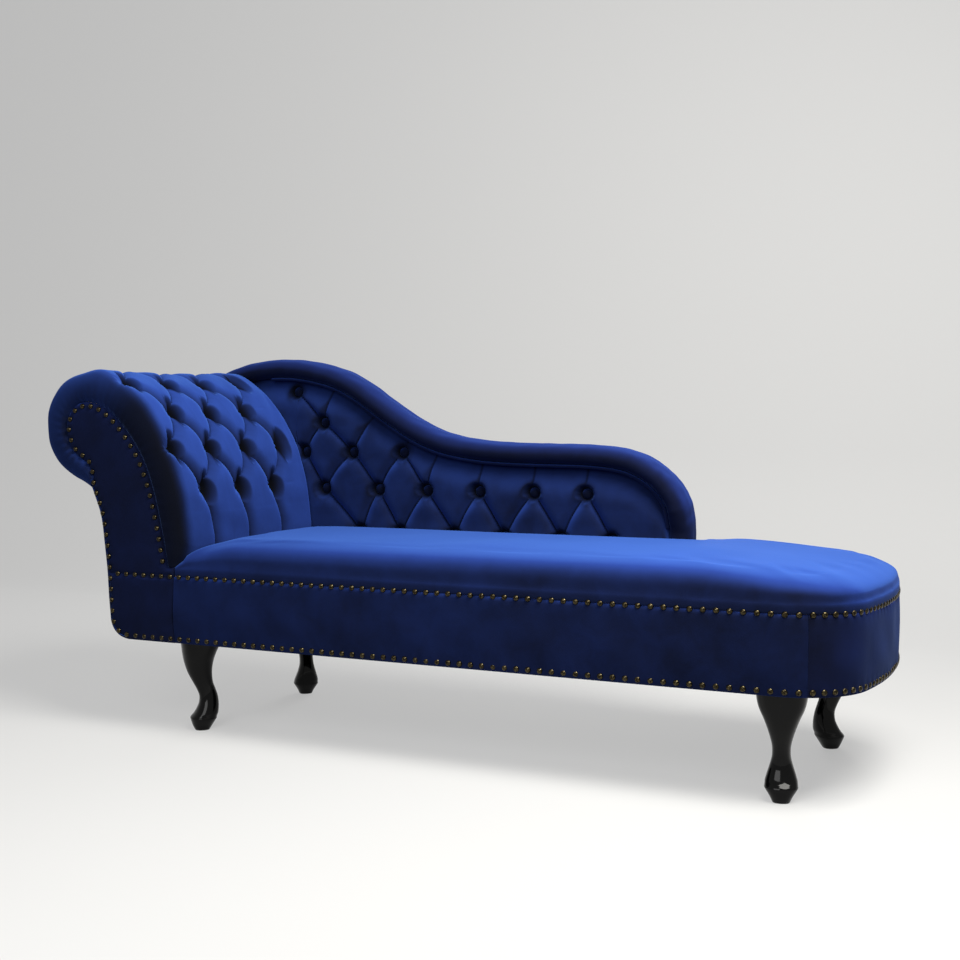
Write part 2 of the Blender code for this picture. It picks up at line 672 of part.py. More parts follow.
def build_suspension():
    """Cross straps on the side rails, two long straps over them, and burlap on top."""
    strap_z = (RAIL_TOP + GAP, RAIL_TOP + GAP + STRAP)
    rear_end = REAR - COVER - 2 * GAP - SCROLL_PANEL
    for i in range(STRAP_COUNT):
        x = STRAP_FIRST_X + i * STRAP_PITCH
        ends = (FRONT + COVER + 2 * GAP, rear_end)
        box(f"cross_strap_{i + 1}", (x - STRAP_WIDTH / 2, x + STRAP_WIDTH / 2), ends, strap_z, WEBBING)
    long_z = (strap_z[1] + GAP, strap_z[1] + GAP + STRAP)
    for i, y in enumerate((-LONG_STRAP_Y, LONG_STRAP_Y)):
        across = (y - STRAP_WIDTH / 2, y + STRAP_WIDTH / 2)
        box(f"long_strap_{i + 1}", (LONG_STRAP_FROM, LONG_STRAP_TO), across, long_z, WEBBING)
    inset = COVER + 2 * GAP
    prism("seat_burlap", seat_plan(inset, inset), "z", long_z[1] + GAP, long_z[1] + GAP + SHEET, WEBBING)


def hidden_bottom():
    """Height above the burlap, where the covers that are tucked in between seat, head and back end."""
    return RAIL_TOP + 2 * (GAP + STRAP) + GAP + SHEET + GAP


def seat_plan(inset, hidden_inset):
    """Outline of the seat in plan: straight along the front, round at the foot, notched for the back."""
    head_x = SEAT_HEAD_X + hidden_inset
    notch_x = ROLL_LINE[-1][0] + 2 * GAP + hidden_inset
    back_y = SEAT_BACK_Y - hidden_inset
    front = [(head_x, FRONT + inset), (head_x + SEAT_CORNER_STEP, FRONT + inset)]
    front += [(x, FRONT + inset) for x in SEAT_PLAN_X]
    rear = [(notch_x + SEAT_CORNER_STEP, REAR - inset), (notch_x, REAR - inset), (notch_x, back_y)]
    rear += [(x, back_y) for x in reversed(SEAT_PLAN_X[:2])]
    return front + foot_curve(inset) + rear + [(head_x, back_y)]


def seat_ring(inset, hidden_inset, height, hidden_height=None):
    """One level of the seat cover. Where it is tucked in beside the head and the back, it may end higher."""
    plan = seat_plan(inset, hidden_inset)
    hidden = {0} | set(range(len(plan) - 5, len(plan)))
    if hidden_height is None:
        hidden_height = height
    return [(x, y, hidden_height if i in hidden else height) for i, (x, y) in enumerate(plan)]


def build_seat():
    """The seat cover, crowned and rounded over its edges, and the foam inside it."""
    tucked = hidden_bottom()
    rings = [seat_ring(0.0, 0.0, SEAT_SEAM_Z + GAP, tucked), seat_ring(0.0, 0.0, SEAT_EDGE_Z)]
    for angle in (22.5, 45, 67.5, 90):
        turn = math.radians(angle)
        inset = SEAT_ROUND * (1 - math.cos(turn))
        rings.append(seat_ring(inset, SEAT_TUCKED_ROUND * inset, SEAT_EDGE_Z + SEAT_ROUND * math.sin(turn)))
    for inset, tucked_inset, share in SEAT_SLOPE:
        rings.append(seat_ring(inset, tucked_inset, SEAT_EDGE_Z + SEAT_ROUND + share * SEAT_CROWN))
    inner = [
        (SEAT_FOAM_TOP_INSET, SEAT_FOAM_TOP + GAP), (SEAT_FOAM_INSET, SEAT_FOAM_EDGE_Z),
        (COVER, SEAT_EDGE_Z - COVER),
    ]
    hollow = [seat_ring(inset, inset, height) for inset, height in inner]
    hollow.append(seat_ring(COVER, COVER, SEAT_SEAM_Z + GAP, tucked))
    shell_loft("seat_cover", rings, hollow, VELVET, 50)
    foam = [
        (SEAT_FOAM_INSET + GAP, tucked), (SEAT_FOAM_INSET + GAP, SEAT_FOAM_EDGE_Z - 2 * GAP),
        (SEAT_FOAM_TOP_INSET + GAP, SEAT_FOAM_TOP),
    ]
    loft("seat_foam", [seat_ring(inset, inset, height) for inset, height in foam], FOAM)


def shell_loft(name, outer, inner, finish, smooth_above):
    """A lid: rings up the outside to a closed top, and rings down the inside from a closed ceiling, joined at
    the open bottom. The inner rings run from the ceiling to the bottom."""
    build = bmesh.new()
    rings = list(reversed(outer)) + list(reversed(inner))
    loops = [[build.verts.new(point) for point in ring] for ring in rings]
    for low, high in zip(loops, loops[1:]):
        count = len(low)
        for i in range(count):
            build.faces.new((low[i], low[(i + 1) % count], high[(i + 1) % count], high[i]))
    build.faces.new(loops[0])
    build.faces.new(list(reversed(loops[-1])))
    return finish_object(name, build, finish, smooth_above)


def build_bands():
    """The velvet bands round the base, and the panel below the head's facing."""
    low, high = BASE_BOTTOM, SEAT_SEAM_Z
    start = HEAD_SEAM_X + GAP
    front = [(start, FRONT), *corner_points(0.0, -1, to_angle=seam_angle())]
    front_inner = [(start, FRONT + COVER), *corner_points(COVER, -1, to_angle=seam_angle())]
    prism("seat_front_band", front + list(reversed(front_inner)), "z", low, high, VELVET, 30)
    angle = seam_angle() - math.degrees(GAP / CORNER_RADIUS)
    foot = foot_curve(0.0, angle) + list(reversed(foot_curve(COVER, angle)))
    prism("seat_foot_band", foot, "z", low, high, VELVET, 30)
    rear = [(start, REAR), *corner_points(0.0, 1, to_angle=seam_angle())]
    rear_inner = [(start, REAR - COVER), *corner_points(COVER, 1, to_angle=seam_angle())]
    prism("seat_rear_band", rear + list(reversed(rear_inner)), "z", low, high, VELVET, 30)
    lower = lower_panel_outline()
    prism("head_lower_panel", lower, "y", FRONT, FRONT + COVER, VELVET)
    prism("head_rear_lower_panel", lower, "y", REAR - COVER, REAR, VELVET)


def lower_panel_outline():
    """The panel of cloth below the head, between its round lower corner and the seam to the long band."""
    side = [p for p in outside_line(COVER + GAP) if p[1] < SEAT_SEAM_Z - SEAM_CLEAR]
    corner_x = OUTSIDE_BASE_X + OUTSIDE_CORNER
    first = side_at(SEAT_SEAM_Z)
    step = [(corner_x + GAP, side[-1][1]), (corner_x + GAP, BASE_BOTTOM), (HEAD_SEAM_X, BASE_BOTTOM)]
    return [(HEAD_SEAM_X, SEAT_SEAM_Z), (first, SEAT_SEAM_Z), *side[:-1], *step]


def side_at(height):
    """x of the inset outside line at a height."""
    line = outside_line(COVER + GAP)
    for start, end in zip(line, line[1:]):
        if min(start[1], end[1]) <= height <= max(start[1], end[1]) and start[1] != end[1]:
            return start[0] + (end[0] - start[0]) * (height - start[1]) / (end[1] - start[1])
    return line[0][0]


def build_head_frame():
    """Scroll panels, the stretchers between them and the bent board that carries the pad."""
    outer = COVER + GAP
    front_y = (FRONT + outer, FRONT + outer + SCROLL_PANEL)
    rear_y = (REAR - outer - SCROLL_PANEL, REAR - outer)
    panel_end = HEAD_SEAM_X - PANEL_PAST_SEAM
    side = outside_line(outer)
    edge = nail_edge(PANEL_PAST_NAILS)
    base = [(panel_end, RAIL_BOTTOM), (panel_end, RAIL_TOP)]
    corner_x = OUTSIDE_BASE_X + OUTSIDE_CORNER + GAP
    under = [(corner_x, side[-1][1]), (corner_x, RAIL_BOTTOM)]
    prism("head_front_panel", base + edge + side + under, "y", *front_y, PLYWOOD)
    rising = [point for point in edge if point[0] > TOP_RAIL_HEAD_X]
    rising = rising[: first_turn(rising)]
    roll, _ = split_at(roll_offset(TOP_RAIL_DROP), TOP_RAIL_HEAD_X)
    cut = [(TOP_RAIL_HEAD_X, rising[-1][1] + SEAM_CLEAR)]
    outline = base + rising + cut + list(reversed(roll)) + side + under
    prism("head_rear_panel", outline, "y", *rear_y, PLYWOOD)
    between = (front_y[1] + GAP, rear_y[0] - GAP)
    depth = HEAD_PAD + GAP + HEAD_FOAM + GAP
    spine = [distance for distance in head_stations() if distance < HEAD_FOAM_END]
    board = [tuple(head_point(d, depth)) for d in spine]
    board += [tuple(head_point(d, depth + HEAD_BOARD)) for d in reversed(spine)]
    prism("head_board", board, "y", *between, PLYWOOD, 30)
    for name, distance in HEAD_STRETCHERS.items():
        build_stretcher(name, distance, depth + HEAD_BOARD, between)
    x, z, wide, tall = THROAT_RAIL
    box("head_throat_stretcher", (x - wide / 2, x + wide / 2), between, (z - tall / 2, z + tall / 2), BEECH)


def first_turn(points):
    """How many points rise before the line turns back down."""
    for i in range(1, len(points)):
        if points[i][1] < points[i - 1][1]:
            return i
    return len(points)


def build_stretcher(name, distance, depth, between):
    """A rail that lies flat under the bent board, clear of its deepest point."""
    half = STRETCHER_WIDTH / 2
    middle = head_point(distance, depth)
    along = (head_point(distance + half, depth) - head_point(distance - half, depth)).normalized()
    inward = Vector((-along.y, along.x))
    if inward.dot(head_spoke(distance)[1]) < 0:
        inward = -inward
    near = [station for station in head_stations() if abs(station - distance) < STRETCHER_WIDTH + RAIL]
    under = [head_point(station, depth) for station in near]
    touching = []
    for start, end in zip(under, under[1:]):
        places = [start.lerp(end, share / 8) - middle for share in range(9)]
        touching += [place.dot(inward) for place in places if abs(place.dot(along)) < half + STRETCHER_EASE]
    face = middle + inward * (max(touching) + GAP)
    corners = [face - along * half, face + along * half, face + along * half + inward * RAIL]
    corners.append(face - along * half + inward * RAIL)
    prism(name, [tuple(corner) for corner in corners], "y", *between, BEECH)


def roll_offset(drop):
    """The roll's line moved inwards, station by station."""
    return [tuple(ROLL_ROUTE.at(d) + ROLL_ROUTE.inward(d) * drop) for d in ROLL_STATIONS]


def split_at(line, x):
    """The line in two parts, where it last passes this x. Both hold the crossing point."""
    for i in range(len(line) - 1, 0, -1):
        start, end = line[i - 1], line[i]
        if start[0] <= x < end[0]:
            height = start[1] + (end[1] - start[1]) * (x - start[0]) / (end[0] - start[0])
            return line[:i] + [(x, height)], [(x, height)] + line[i:]
    return line, []


def head_section(distance, folds):
    """Section of the head pad across the chaise: the lip on the facing, the round front edge, the buttoned
    face, the rear end and the inner side over the panel's edge."""
    surface, inward, width = head_spoke(distance)
    lip = width - FACING_PAST_NAILS - GAP
    over_panel = width - PANEL_PAST_NAILS - GAP
    round_off = min(BORDER_ROUND, BORDER_ROUND_SHARE * lip)
    pad = min(HEAD_PAD, HEAD_PAD_SHARE * width)
    share = min(max((SCROLL_FROM_X - surface.x) / (SCROLL_FROM_X - SCROLL_FULL_X), 0.0), 1.0)
    rear = HEAD_PAD_REAR + (SCROLL_PAD_REAR - HEAD_PAD_REAR) * share
    section = [(FRONT, lip)]
    for angle in (0, 22.5, 45, 67.5, 90):
        turn = math.radians(angle)
        section.append((FRONT + round_off * (1 - math.cos(turn)), round_off * (1 - math.sin(turn))))
    step = HEAD_COLUMN_PITCH / (2 * GRID_STEPS)
    count = int((SCROLL_PAD_REAR - HEAD_COLUMN_FIRST) / step)
    columns = [HEAD_COLUMN_FIRST + i * step for i in range(-1, count + 1)]
    crown = PUFF_CROWN * min(max((distance - SEAT_TUCK) / SEAT_TUCK, 0.0), 1.0)
    for y in columns:
        fade = min(max((y - (HEAD_COLUMN_FIRST - step)) / step, 0.0), 1.0)
        section.append((y, -fade * min(tuft_height(distance, y, folds), crown)))
    panel_face = FRONT + COVER + GAP
    inner_face = panel_face + SCROLL_PANEL + GAP
    section += [(rear, HEAD_PAD_REAR_DROP), (rear, pad), (inner_face, pad), (inner_face, over_panel)]
    section += [(panel_face - GAP, over_panel), (panel_face - GAP, lip)]
    points = []
    for y, depth in section:
        place = surface + inward * depth
        points.append((place.x, y, place.y))
    return points


def build_head_pad():
    """The deep-buttoned cover of the head with its wadding, and the foam behind it."""
    folds = head_folds()
    rings = [head_section(distance, folds) for distance in head_stations()]
    loft("head_cover", rings, VELVET, 60, follow_relief=True)
    spine = [distance for distance in head_stations() if distance < HEAD_FOAM_END]
    outline = [tuple(head_point(d, HEAD_PAD + GAP)) for d in spine]
    outline += [tuple(head_point(d, HEAD_PAD + GAP + HEAD_FOAM)) for d in reversed(spine)]
    inner_face = FRONT + COVER + GAP + SCROLL_PANEL + GAP
    prism("head_foam", outline, "y", inner_face, SCROLL_PAD_REAR, FOAM, 30)


def build_head_covers():
    """The flat facing on the front of the head and the cloth over its outside."""
    edge = nail_edge(FACING_PAST_NAILS)
    side = [p for p in outside_line(COVER + GAP) if p[1] > SEAT_SEAM_Z + SEAM_CLEAR]
    seam = SEAT_SEAM_Z + GAP
    tab_x = SEAT_HEAD_X - GAP
    tab_z = HEAD_SURFACE[0][1] - GAP
    tab = [(tab_x, seam), (tab_x, tab_z), (edge[0][0], tab_z)]
    outline = tab + edge + side + [(side_at(seam), seam)]
    prism("head_front_facing", outline, "y", FRONT, FRONT + COVER, VELVET)
    skin = outside_line(0.0) + list(reversed(outside_line(COVER)))
    prism("head_outside_cover", skin, "y", FRONT, REAR, VELVET, 30)


def build_back_frame():
    """The curved top rail, the posts and the board between them."""
    plane = (REAR - COVER - GAP - SCROLL_PANEL, REAR - COVER - GAP)
    bottom = RAIL_TOP + GAP
    start = TOP_RAIL_HEAD_X + GAP
    _, upper = split_at(roll_offset(TOP_RAIL_DROP), start)
    _, lower = split_at(roll_offset(TOP_RAIL_DROP + TOP_RAIL_WIDTH), start)
    upper = upper[:-1] + [(upper[-1][0], bottom)]
    lower = lower[:-1] + [(lower[-1][0], bottom)]
    prism("back_top_rail", upper + list(reversed(lower)), "y", *plane, BEECH, 30)
    for name, strap in POST_AFTER_STRAP.items():
        x = STRAP_FIRST_X + (strap + 0.5) * STRAP_PITCH
        sides = (x - POST_WIDTH / 2, x + POST_WIDTH / 2)
        tops = [min(under_rail(side, lower), under_rail(x, lower)) - GAP for side in sides]
        outline = [(sides[0], bottom), (sides[1], bottom), (sides[1], tops[1]), (sides[0], tops[0])]
        prism(name, outline, "y", *plane, BEECH)


def under_rail(x, line):
    """Height of a line at this x."""
    for start, end in zip(line, line[1:]):
        if start[0] <= x <= end[0]:
            return start[1] + (end[1] - start[1]) * (x - start[0]) / (end[0] - start[0])
    return line[-1][1]


def back_outline():
    """Outline of the back pad: behind the head pad at the left, under the roll above, down to the seat."""
    left = []
    for distance in head_stations():
        place = head_point(distance, BACK_BEHIND_HEAD)
        if distance < BACK_HEAD_END:
            left.append(Vector((place.x, place.y)))
    top = []
    for distance in ROLL_STATIONS:
        place = ROLL_ROUTE.at(distance) + ROLL_ROUTE.inward(distance) * (ROLL_DROP + GAP)
        above_seat = place.y > hidden_bottom() + BACK_FOOT_CLEAR
        if distance > BACK_ROLL_START and place.x > left[-1].x and above_seat:
            top.append(place)
    bottom = hidden_bottom() + GAP
    left[0].y = bottom
    foot = Vector((top[-1].x, bottom))
    bottom_line = [Vector((foot.x + (left[0].x - foot.x) * i / 16, bottom)) for i in range(1, 16)]
    return left + top + [foot] + bottom_line


def inside(point, outline):
    """True where the point lies within the outline and off its edge."""
    hit = False
    nearest = 1.0
    for start, end in zip(outline, outline[1:] + outline[:1]):
        run = end - start
        share = min(max((point - start).dot(run) / run.length_squared, 0.0), 1.0)
        nearest = min(nearest, (point - (start + run * share)).length)
        if (start.y > point.y) != (end.y > point.y):
            cross = start.x + (point.y - start.y) / (end.y - start.y) * (end.x - start.x)
            hit = hit != (cross > point.x)
    return hit and nearest > BACK_GRID_CLEAR


def build_back_pad():
    """The buttoned cover of the back with its wadding, a plain foam sheet and the board behind it."""
    outline = back_outline()
    folds = back_folds()
    count = len(outline)
    grid = back_grid(outline)
    index = {key: count + i for i, key in enumerate(grid)}
    places = list(outline) + list(grid.values())
    edges = [(i, (i + 1) % count) for i in range(count)]
    edges += [(index[start], index[end]) for start, end in fold_steps(grid)]
    rim = [list(range(count))]
    points, _, faces, origins, _, _ = delaunay_2d_cdt(places, edges, rim, 1, 1e-6)
    build = bmesh.new()
    front = []
    for point, origin in zip(points, origins):
        on_rim = any(i < count for i in origin)
        height = -FOLD_DEPTH if on_rim else tuft_height(point.x, point.y, folds)
        front.append(build.verts.new((point.x, BACK_FACE + PUFF_CROWN - height, point.y)))
    for face in faces:
        build.faces.new([front[i] for i in face])
    place_of = {origin: i for i, found in enumerate(origins) for origin in found if origin < count}
    rear_y = BACK_FACE + BACK_PAD
    rear = [build.verts.new((outline[i].x, rear_y, outline[i].y)) for i in range(count)]
    for i in range(count):
        j = (i + 1) % count
        build.faces.new((front[place_of[i]], front[place_of[j]], rear[j], rear[i]))
    build.faces.new(list(reversed(rear)))
    finish_object("back_cover", build, VELVET, 60)
    plain = [tuple(point) for point in outline]
    foam_y = (rear_y + GAP, rear_y + GAP + BACK_FOAM)
    prism("back_foam", plain, "y", *foam_y, FOAM)
    prism("back_board", plain, "y", foam_y[1] + GAP, BACK_FRAME_FACE, PLYWOOD)


def toward(point, middle, distance):
    """The point moved a distance towards the middle."""
    run = Vector(middle) - Vector(point)
    return tuple(Vector(point) + run.normalized() * distance)


def roll_section(distance, points):
    """A section of the back's roll. Its overhang shrinks where the roll comes down to the seat."""
    place = ROLL_ROUTE.at(distance)
    inward = ROLL_ROUTE.inward(distance)
    rise = min(max((place.y - ROLL_SLIM_AT_Z) / (ROLL_SLIMS_FROM_Z - ROLL_SLIM_AT_Z), 0.0), 1.0)
    keep = ROLL_SLIM_SHARE + (1 - ROLL_SLIM_SHARE) * rise if place.x > 0.0 else 1.0
    hinge = BACK_FACE + ROLL_HINGE
    ring = []
    for y, depth in points:
        if y < hinge:
            y = hinge - (hinge - y) * keep
        spot = place + inward * depth
        ring.append((spot.x, y, spot.y))
    return ring


def build_back_roll():
    """The padded roll along the top of the back: its cover, its filling and the welt below its front."""
    nose = BACK_FACE + ROLL_HINGE - ROLL_OVERHANG
    inner_rear = REAR - COVER
    tail = ROLL_DROP - ROLL_TAIL
    outer = [
        (BACK_FRAME_FACE, ROLL_DROP), (nose + 0.019, ROLL_DROP), (nose + 0.004, 0.034), (nose, 0.020),
        (nose + 0.010, 0.006), (nose + 0.032, 0.0), (REAR - 0.022, 0.0), (REAR - 0.005, 0.008), (REAR, 0.022),
        (REAR, ROLL_DROP),
    ]
    inner = [
        (inner_rear, 0.020), (REAR - 0.016, 0.0072), (nose + 0.034, 0.0050), (nose + 0.0150, 0.0095),
        (nose + 0.0062, 0.0210), (nose + 0.0095, 0.0315), (nose + 0.0205, tail),
    ]
    cover = outer + [(inner_rear, ROLL_DROP)] + inner + [(BACK_FRAME_FACE, tail)]
    middle = ((nose + inner_rear) / 2, ROLL_DROP / 2)
    filling = [toward(point, middle, FILLING_EASE) for point in inner]
    filling += [(BACK_FRAME_FACE, filling[-1][1]), (BACK_FRAME_FACE, TOP_RAIL_DROP - GAP)]
    filling += [(filling[0][0], TOP_RAIL_DROP - GAP)]
    welt_line = [roll_section(d, [(nose + 0.016, ROLL_DROP + WELT_RADIUS + GAP)])[0] for d in ROLL_STATIONS]
    build_welt([point for point in welt_line if point[0] > WELT_FROM_X and point[2] > WELT_TO_Z])
    loft("back_roll_cover", [roll_section(distance, cover) for distance in ROLL_STATIONS], VELVET, 50)
    loft("back_roll_filling", [roll_section(distance, filling) for distance in ROLL_STATIONS], FOAM, 50)


def build_welt(points):
    """A thin round cord in velvet that covers the seam below the roll."""
    curve = bpy.data.curves.new("back_welt", "CURVE")
    curve.dimensions = "3D"
    curve.bevel_depth = WELT_RADIUS
    curve.bevel_resolution = 1
    curve.use_fill_caps = True
    line = curve.splines.new("POLY")
    line.points.add(len(points) - 1)
    for spot, point in zip(line.points, points):
        spot.co = (*point, 1.0)
    curve.materials.append(material(VELVET))
    obj = bpy.data.objects.new("back_welt", curve)
    bpy.context.scene.collection.objects.link(obj)


def build_back_covers():
    """The outside cover of the back, and the dust cover under the seat."""
    seam = SEAT_SEAM_Z + GAP
    top = roll_offset(ROLL_DROP + GAP)
    side = [p for p in outside_line(COVER + GAP) if p[1] > SEAT_SEAM_Z + SEAM_CLEAR]
    foot_x = ROLL_LINE[-1][0]
    lowest = ROLL_LINE[-1][1] - GAP
    foot = [(top[-1][0], lowest), (foot_x, lowest), (foot_x, seam)]
    outline = top[:-1] + foot + [(side_at(seam), seam)] + list(reversed(side))
    prism("back_outside_cover", outline, "y", REAR - COVER, REAR, VELVET)
    inset = COVER + GAP
    head_x = OUTSIDE_BASE_X + OUTSIDE_CORNER + 2 * GAP
    plan = [(head_x, REAR - inset), (head_x, FRONT + inset)] + foot_curve(inset)
    low = RAIL_BOTTOM - GAP - SHEET
    sheet = prism("dust_cover", plan, "z", low, RAIL_BOTTOM - GAP, CAMBRIC)
    cut_z = (low - CUT_PAST, RAIL_BOTTOM + CUT_PAST)
    for x, y, yaw in LEGS.values():
        bore(sheet, leg_top(x, y, yaw), LEG_HOLE_RADIUS, *cut_z, LEG_HOLE_SIDES)


def main():
    clear_scene()
    build_base_frame()
    build_legs()
    build_suspension()
    build_seat()
    build_bands()
    build_head_frame()
    build_head_pad()
    build_head_covers()
    build_back_frame()
    build_back_pad()
    build_back_roll()
    build_back_covers()


main()
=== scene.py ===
"""Dresses the chaise longue in deep-buttoned velvet, a plump seat, brass nails and lacquered legs.

Metres, +Z up. +X runs along the seat towards the foot, -Y is the open front side, and the floor is z = 0.
"""

import json
import logging
import math
from dataclasses import dataclass, field
from enum import Enum
from functools import cached_property

import bmesh
import bpy
import numpy as np
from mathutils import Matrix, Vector
from mathutils.geometry import delaunay_2d_cdt


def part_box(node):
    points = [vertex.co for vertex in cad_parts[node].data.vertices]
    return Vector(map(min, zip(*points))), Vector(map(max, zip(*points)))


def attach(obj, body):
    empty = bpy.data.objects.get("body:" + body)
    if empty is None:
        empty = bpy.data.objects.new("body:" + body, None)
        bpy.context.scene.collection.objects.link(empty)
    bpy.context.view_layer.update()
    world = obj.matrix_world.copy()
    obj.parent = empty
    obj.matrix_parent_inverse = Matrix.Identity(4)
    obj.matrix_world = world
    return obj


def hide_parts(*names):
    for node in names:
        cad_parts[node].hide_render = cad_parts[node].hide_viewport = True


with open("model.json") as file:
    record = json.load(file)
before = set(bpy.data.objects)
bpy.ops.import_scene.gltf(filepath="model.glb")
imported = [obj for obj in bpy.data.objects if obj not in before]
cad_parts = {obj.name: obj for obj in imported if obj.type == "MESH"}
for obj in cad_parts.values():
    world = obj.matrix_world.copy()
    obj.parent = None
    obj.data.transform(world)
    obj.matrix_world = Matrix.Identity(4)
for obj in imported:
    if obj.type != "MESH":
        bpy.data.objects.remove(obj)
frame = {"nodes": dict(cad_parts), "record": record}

logging.basicConfig(level=logging.INFO, format="%(message)s")
log = logging.getLogger("chaise_longue")

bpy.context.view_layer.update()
Points = np.ndarray
Place = tuple[float, float]
Node = bpy.types.Node
Socket = bpy.types.NodeSocket
Tree = bpy.types.NodeTree

# Space between neighbouring pieces, and the thickness of a flat cover
GAP = 0.0003
COVER = 0.005
# The base in plan: straight long sides, round corners and a bowed foot end
DEPTH = 0.548
FRONT = -DEPTH / 2
REAR = DEPTH / 2
FOOT_END = 0.832
CORNER_RADIUS = 0.130
END_BOW_RADIUS = 0.950
# Heights of the base, of the seam below the seat and of what the covers hide beside it
BASE_BOTTOM = 0.1855
RAIL_BOTTOM = 0.190
SEAM_Z = 0.318
HIDDEN_BOTTOM = 0.3363
# Planes across the back: the front of its frame, and the datum of its buttoned face
BACK_FRAME_FACE = 0.2504
BACK_FACE = 0.2003
NAIL_PITCH = 0.0222
# Name of the vertex attribute that holds painted shade, the share by which the velvet darkens towards near
# black
SHADE_ATTRIBUTE = "painted_shade_share"

# Side views as x and z: the face of the head, the nails of its facing, its outside and the top of the roll
HEAD_SURFACE = [
    (-0.488, 0.338), (-0.489, 0.400), (-0.503, 0.490), (-0.545, 0.590), (-0.612, 0.677), (-0.690, 0.726),
    (-0.748, 0.719), (-0.797, 0.690), (-0.824, 0.642), (-0.8245, 0.596), (-0.802, 0.554), (-0.767, 0.521),
    (-0.738, 0.503), (-0.716, 0.492),
]
HEAD_NAILS = [
    (-0.530, 0.338), (-0.543, 0.402), (-0.566, 0.490), (-0.598, 0.560), (-0.650, 0.622), (-0.697, 0.653),
    (-0.735, 0.658), (-0.760, 0.645), (-0.772, 0.622), (-0.770, 0.600), (-0.761, 0.577), (-0.745, 0.562),
    (-0.722, 0.548), (-0.708, 0.522),
]
OUTSIDE_LINE = [(-0.7156, 0.4910), (-0.694, 0.438), (-0.684, 0.385), (-0.677, 0.329), (-0.673, 0.268)]
OUTSIDE_BASE_X = -0.670
OUTSIDE_CORNER = 0.045
ROLL_LINE = [
    (-0.716, 0.492), (-0.739, 0.503), (-0.777, 0.527), (-0.811, 0.566), (-0.828, 0.612), (-0.822, 0.657),
    (-0.795, 0.700), (-0.748, 0.737), (-0.690, 0.759), (-0.620, 0.770), (-0.550, 0.771), (-0.480, 0.761),
    (-0.414, 0.743), (-0.354, 0.713), (-0.290, 0.671), (-0.222, 0.630), (-0.158, 0.603), (-0.084, 0.588),
    (0.000, 0.581), (0.095, 0.579), (0.189, 0.577), (0.261, 0.569), (0.315, 0.550), (0.362, 0.516),
    (0.392, 0.474), (0.403, 0.430), (0.405, 0.384), (0.405, 0.3367),
]
ROLL_DROP = 0.0415


class Slot(Enum):
    """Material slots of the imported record."""

    VELVET = "velvet"
    LACQUER = "black_lacquer"
    BEECH = "beech"
    PLYWOOD = "plywood"
    FOAM = "foam"
    WEBBING = "webbing"
    CAMBRIC = "cambric"
    STEEL = "steel"


class Side(Enum):
    """The long side that a flat cover faces, as the sign of its outward y."""

    FRONT = -1
    REAR = 1


def linear(colour: str) -> tuple[float, float, float, float]:
    """Turns an sRGB hex colour into linear values.

    Args:
        colour: the colour as #rrggbb.

    Returns:
        Red, green, blue and an alpha of 1.
    """
    shares = [int(colour[i : i + 2], 16) / 255 for i in (1, 3, 5)]
    red, green, blue = [c / 12.92 if c <= 0.04045 else ((c + 0.055) / 1.055) ** 2.4 for c in shares]
    return red, green, blue, 1.0


def add_node(tree: Tree, kind: str, inputs: dict | None = None, **settings) -> Node:
    """Adds one shader node with its settings, values and links.

    Args:
        tree: the material's or the world's tree.
        kind: the node's type name after ShaderNode.
        inputs: a value or an output socket for each named or numbered input.
        settings: attributes of the node itself.

    Returns:
        The new node.
    """
    node = tree.nodes.new(f"ShaderNode{kind}")
    for key, value in settings.items():
        setattr(node, key, value)
    for key, value in (inputs or {}).items():
        if isinstance(value, Socket):
            tree.links.new(value, node.inputs[key])
        else:
            node.inputs[key].default_value = value
    return node


@dataclass(frozen=True)
class Finish:
    """A procedural finish. Each kind fills in the shader tree of its own material."""

    name: str

    def material(self) -> bpy.types.Material:
        """Returns the finish's material, made at its first use."""
        found = bpy.data.materials.get(self.name)
        if found:
            return found
        made = bpy.data.materials.new(self.name)
        made.use_nodes = True
        tree = made.node_tree
        tree.nodes.clear()
        where = add_node(tree, "TexCoord").outputs["Object"]
        shader = self.surface(tree, where)
        add_node(tree, "OutputMaterial", {"Surface": shader.outputs[0]})
        return made

    def surface(self, tree: Tree, where: Socket) -> Node:
        """Fills in the material's tree.

        Args:
            tree: the tree.
            where: the place on the piece, in metres.

        Returns:
            The shader node that the material shows.
        """
        raise NotImplementedError


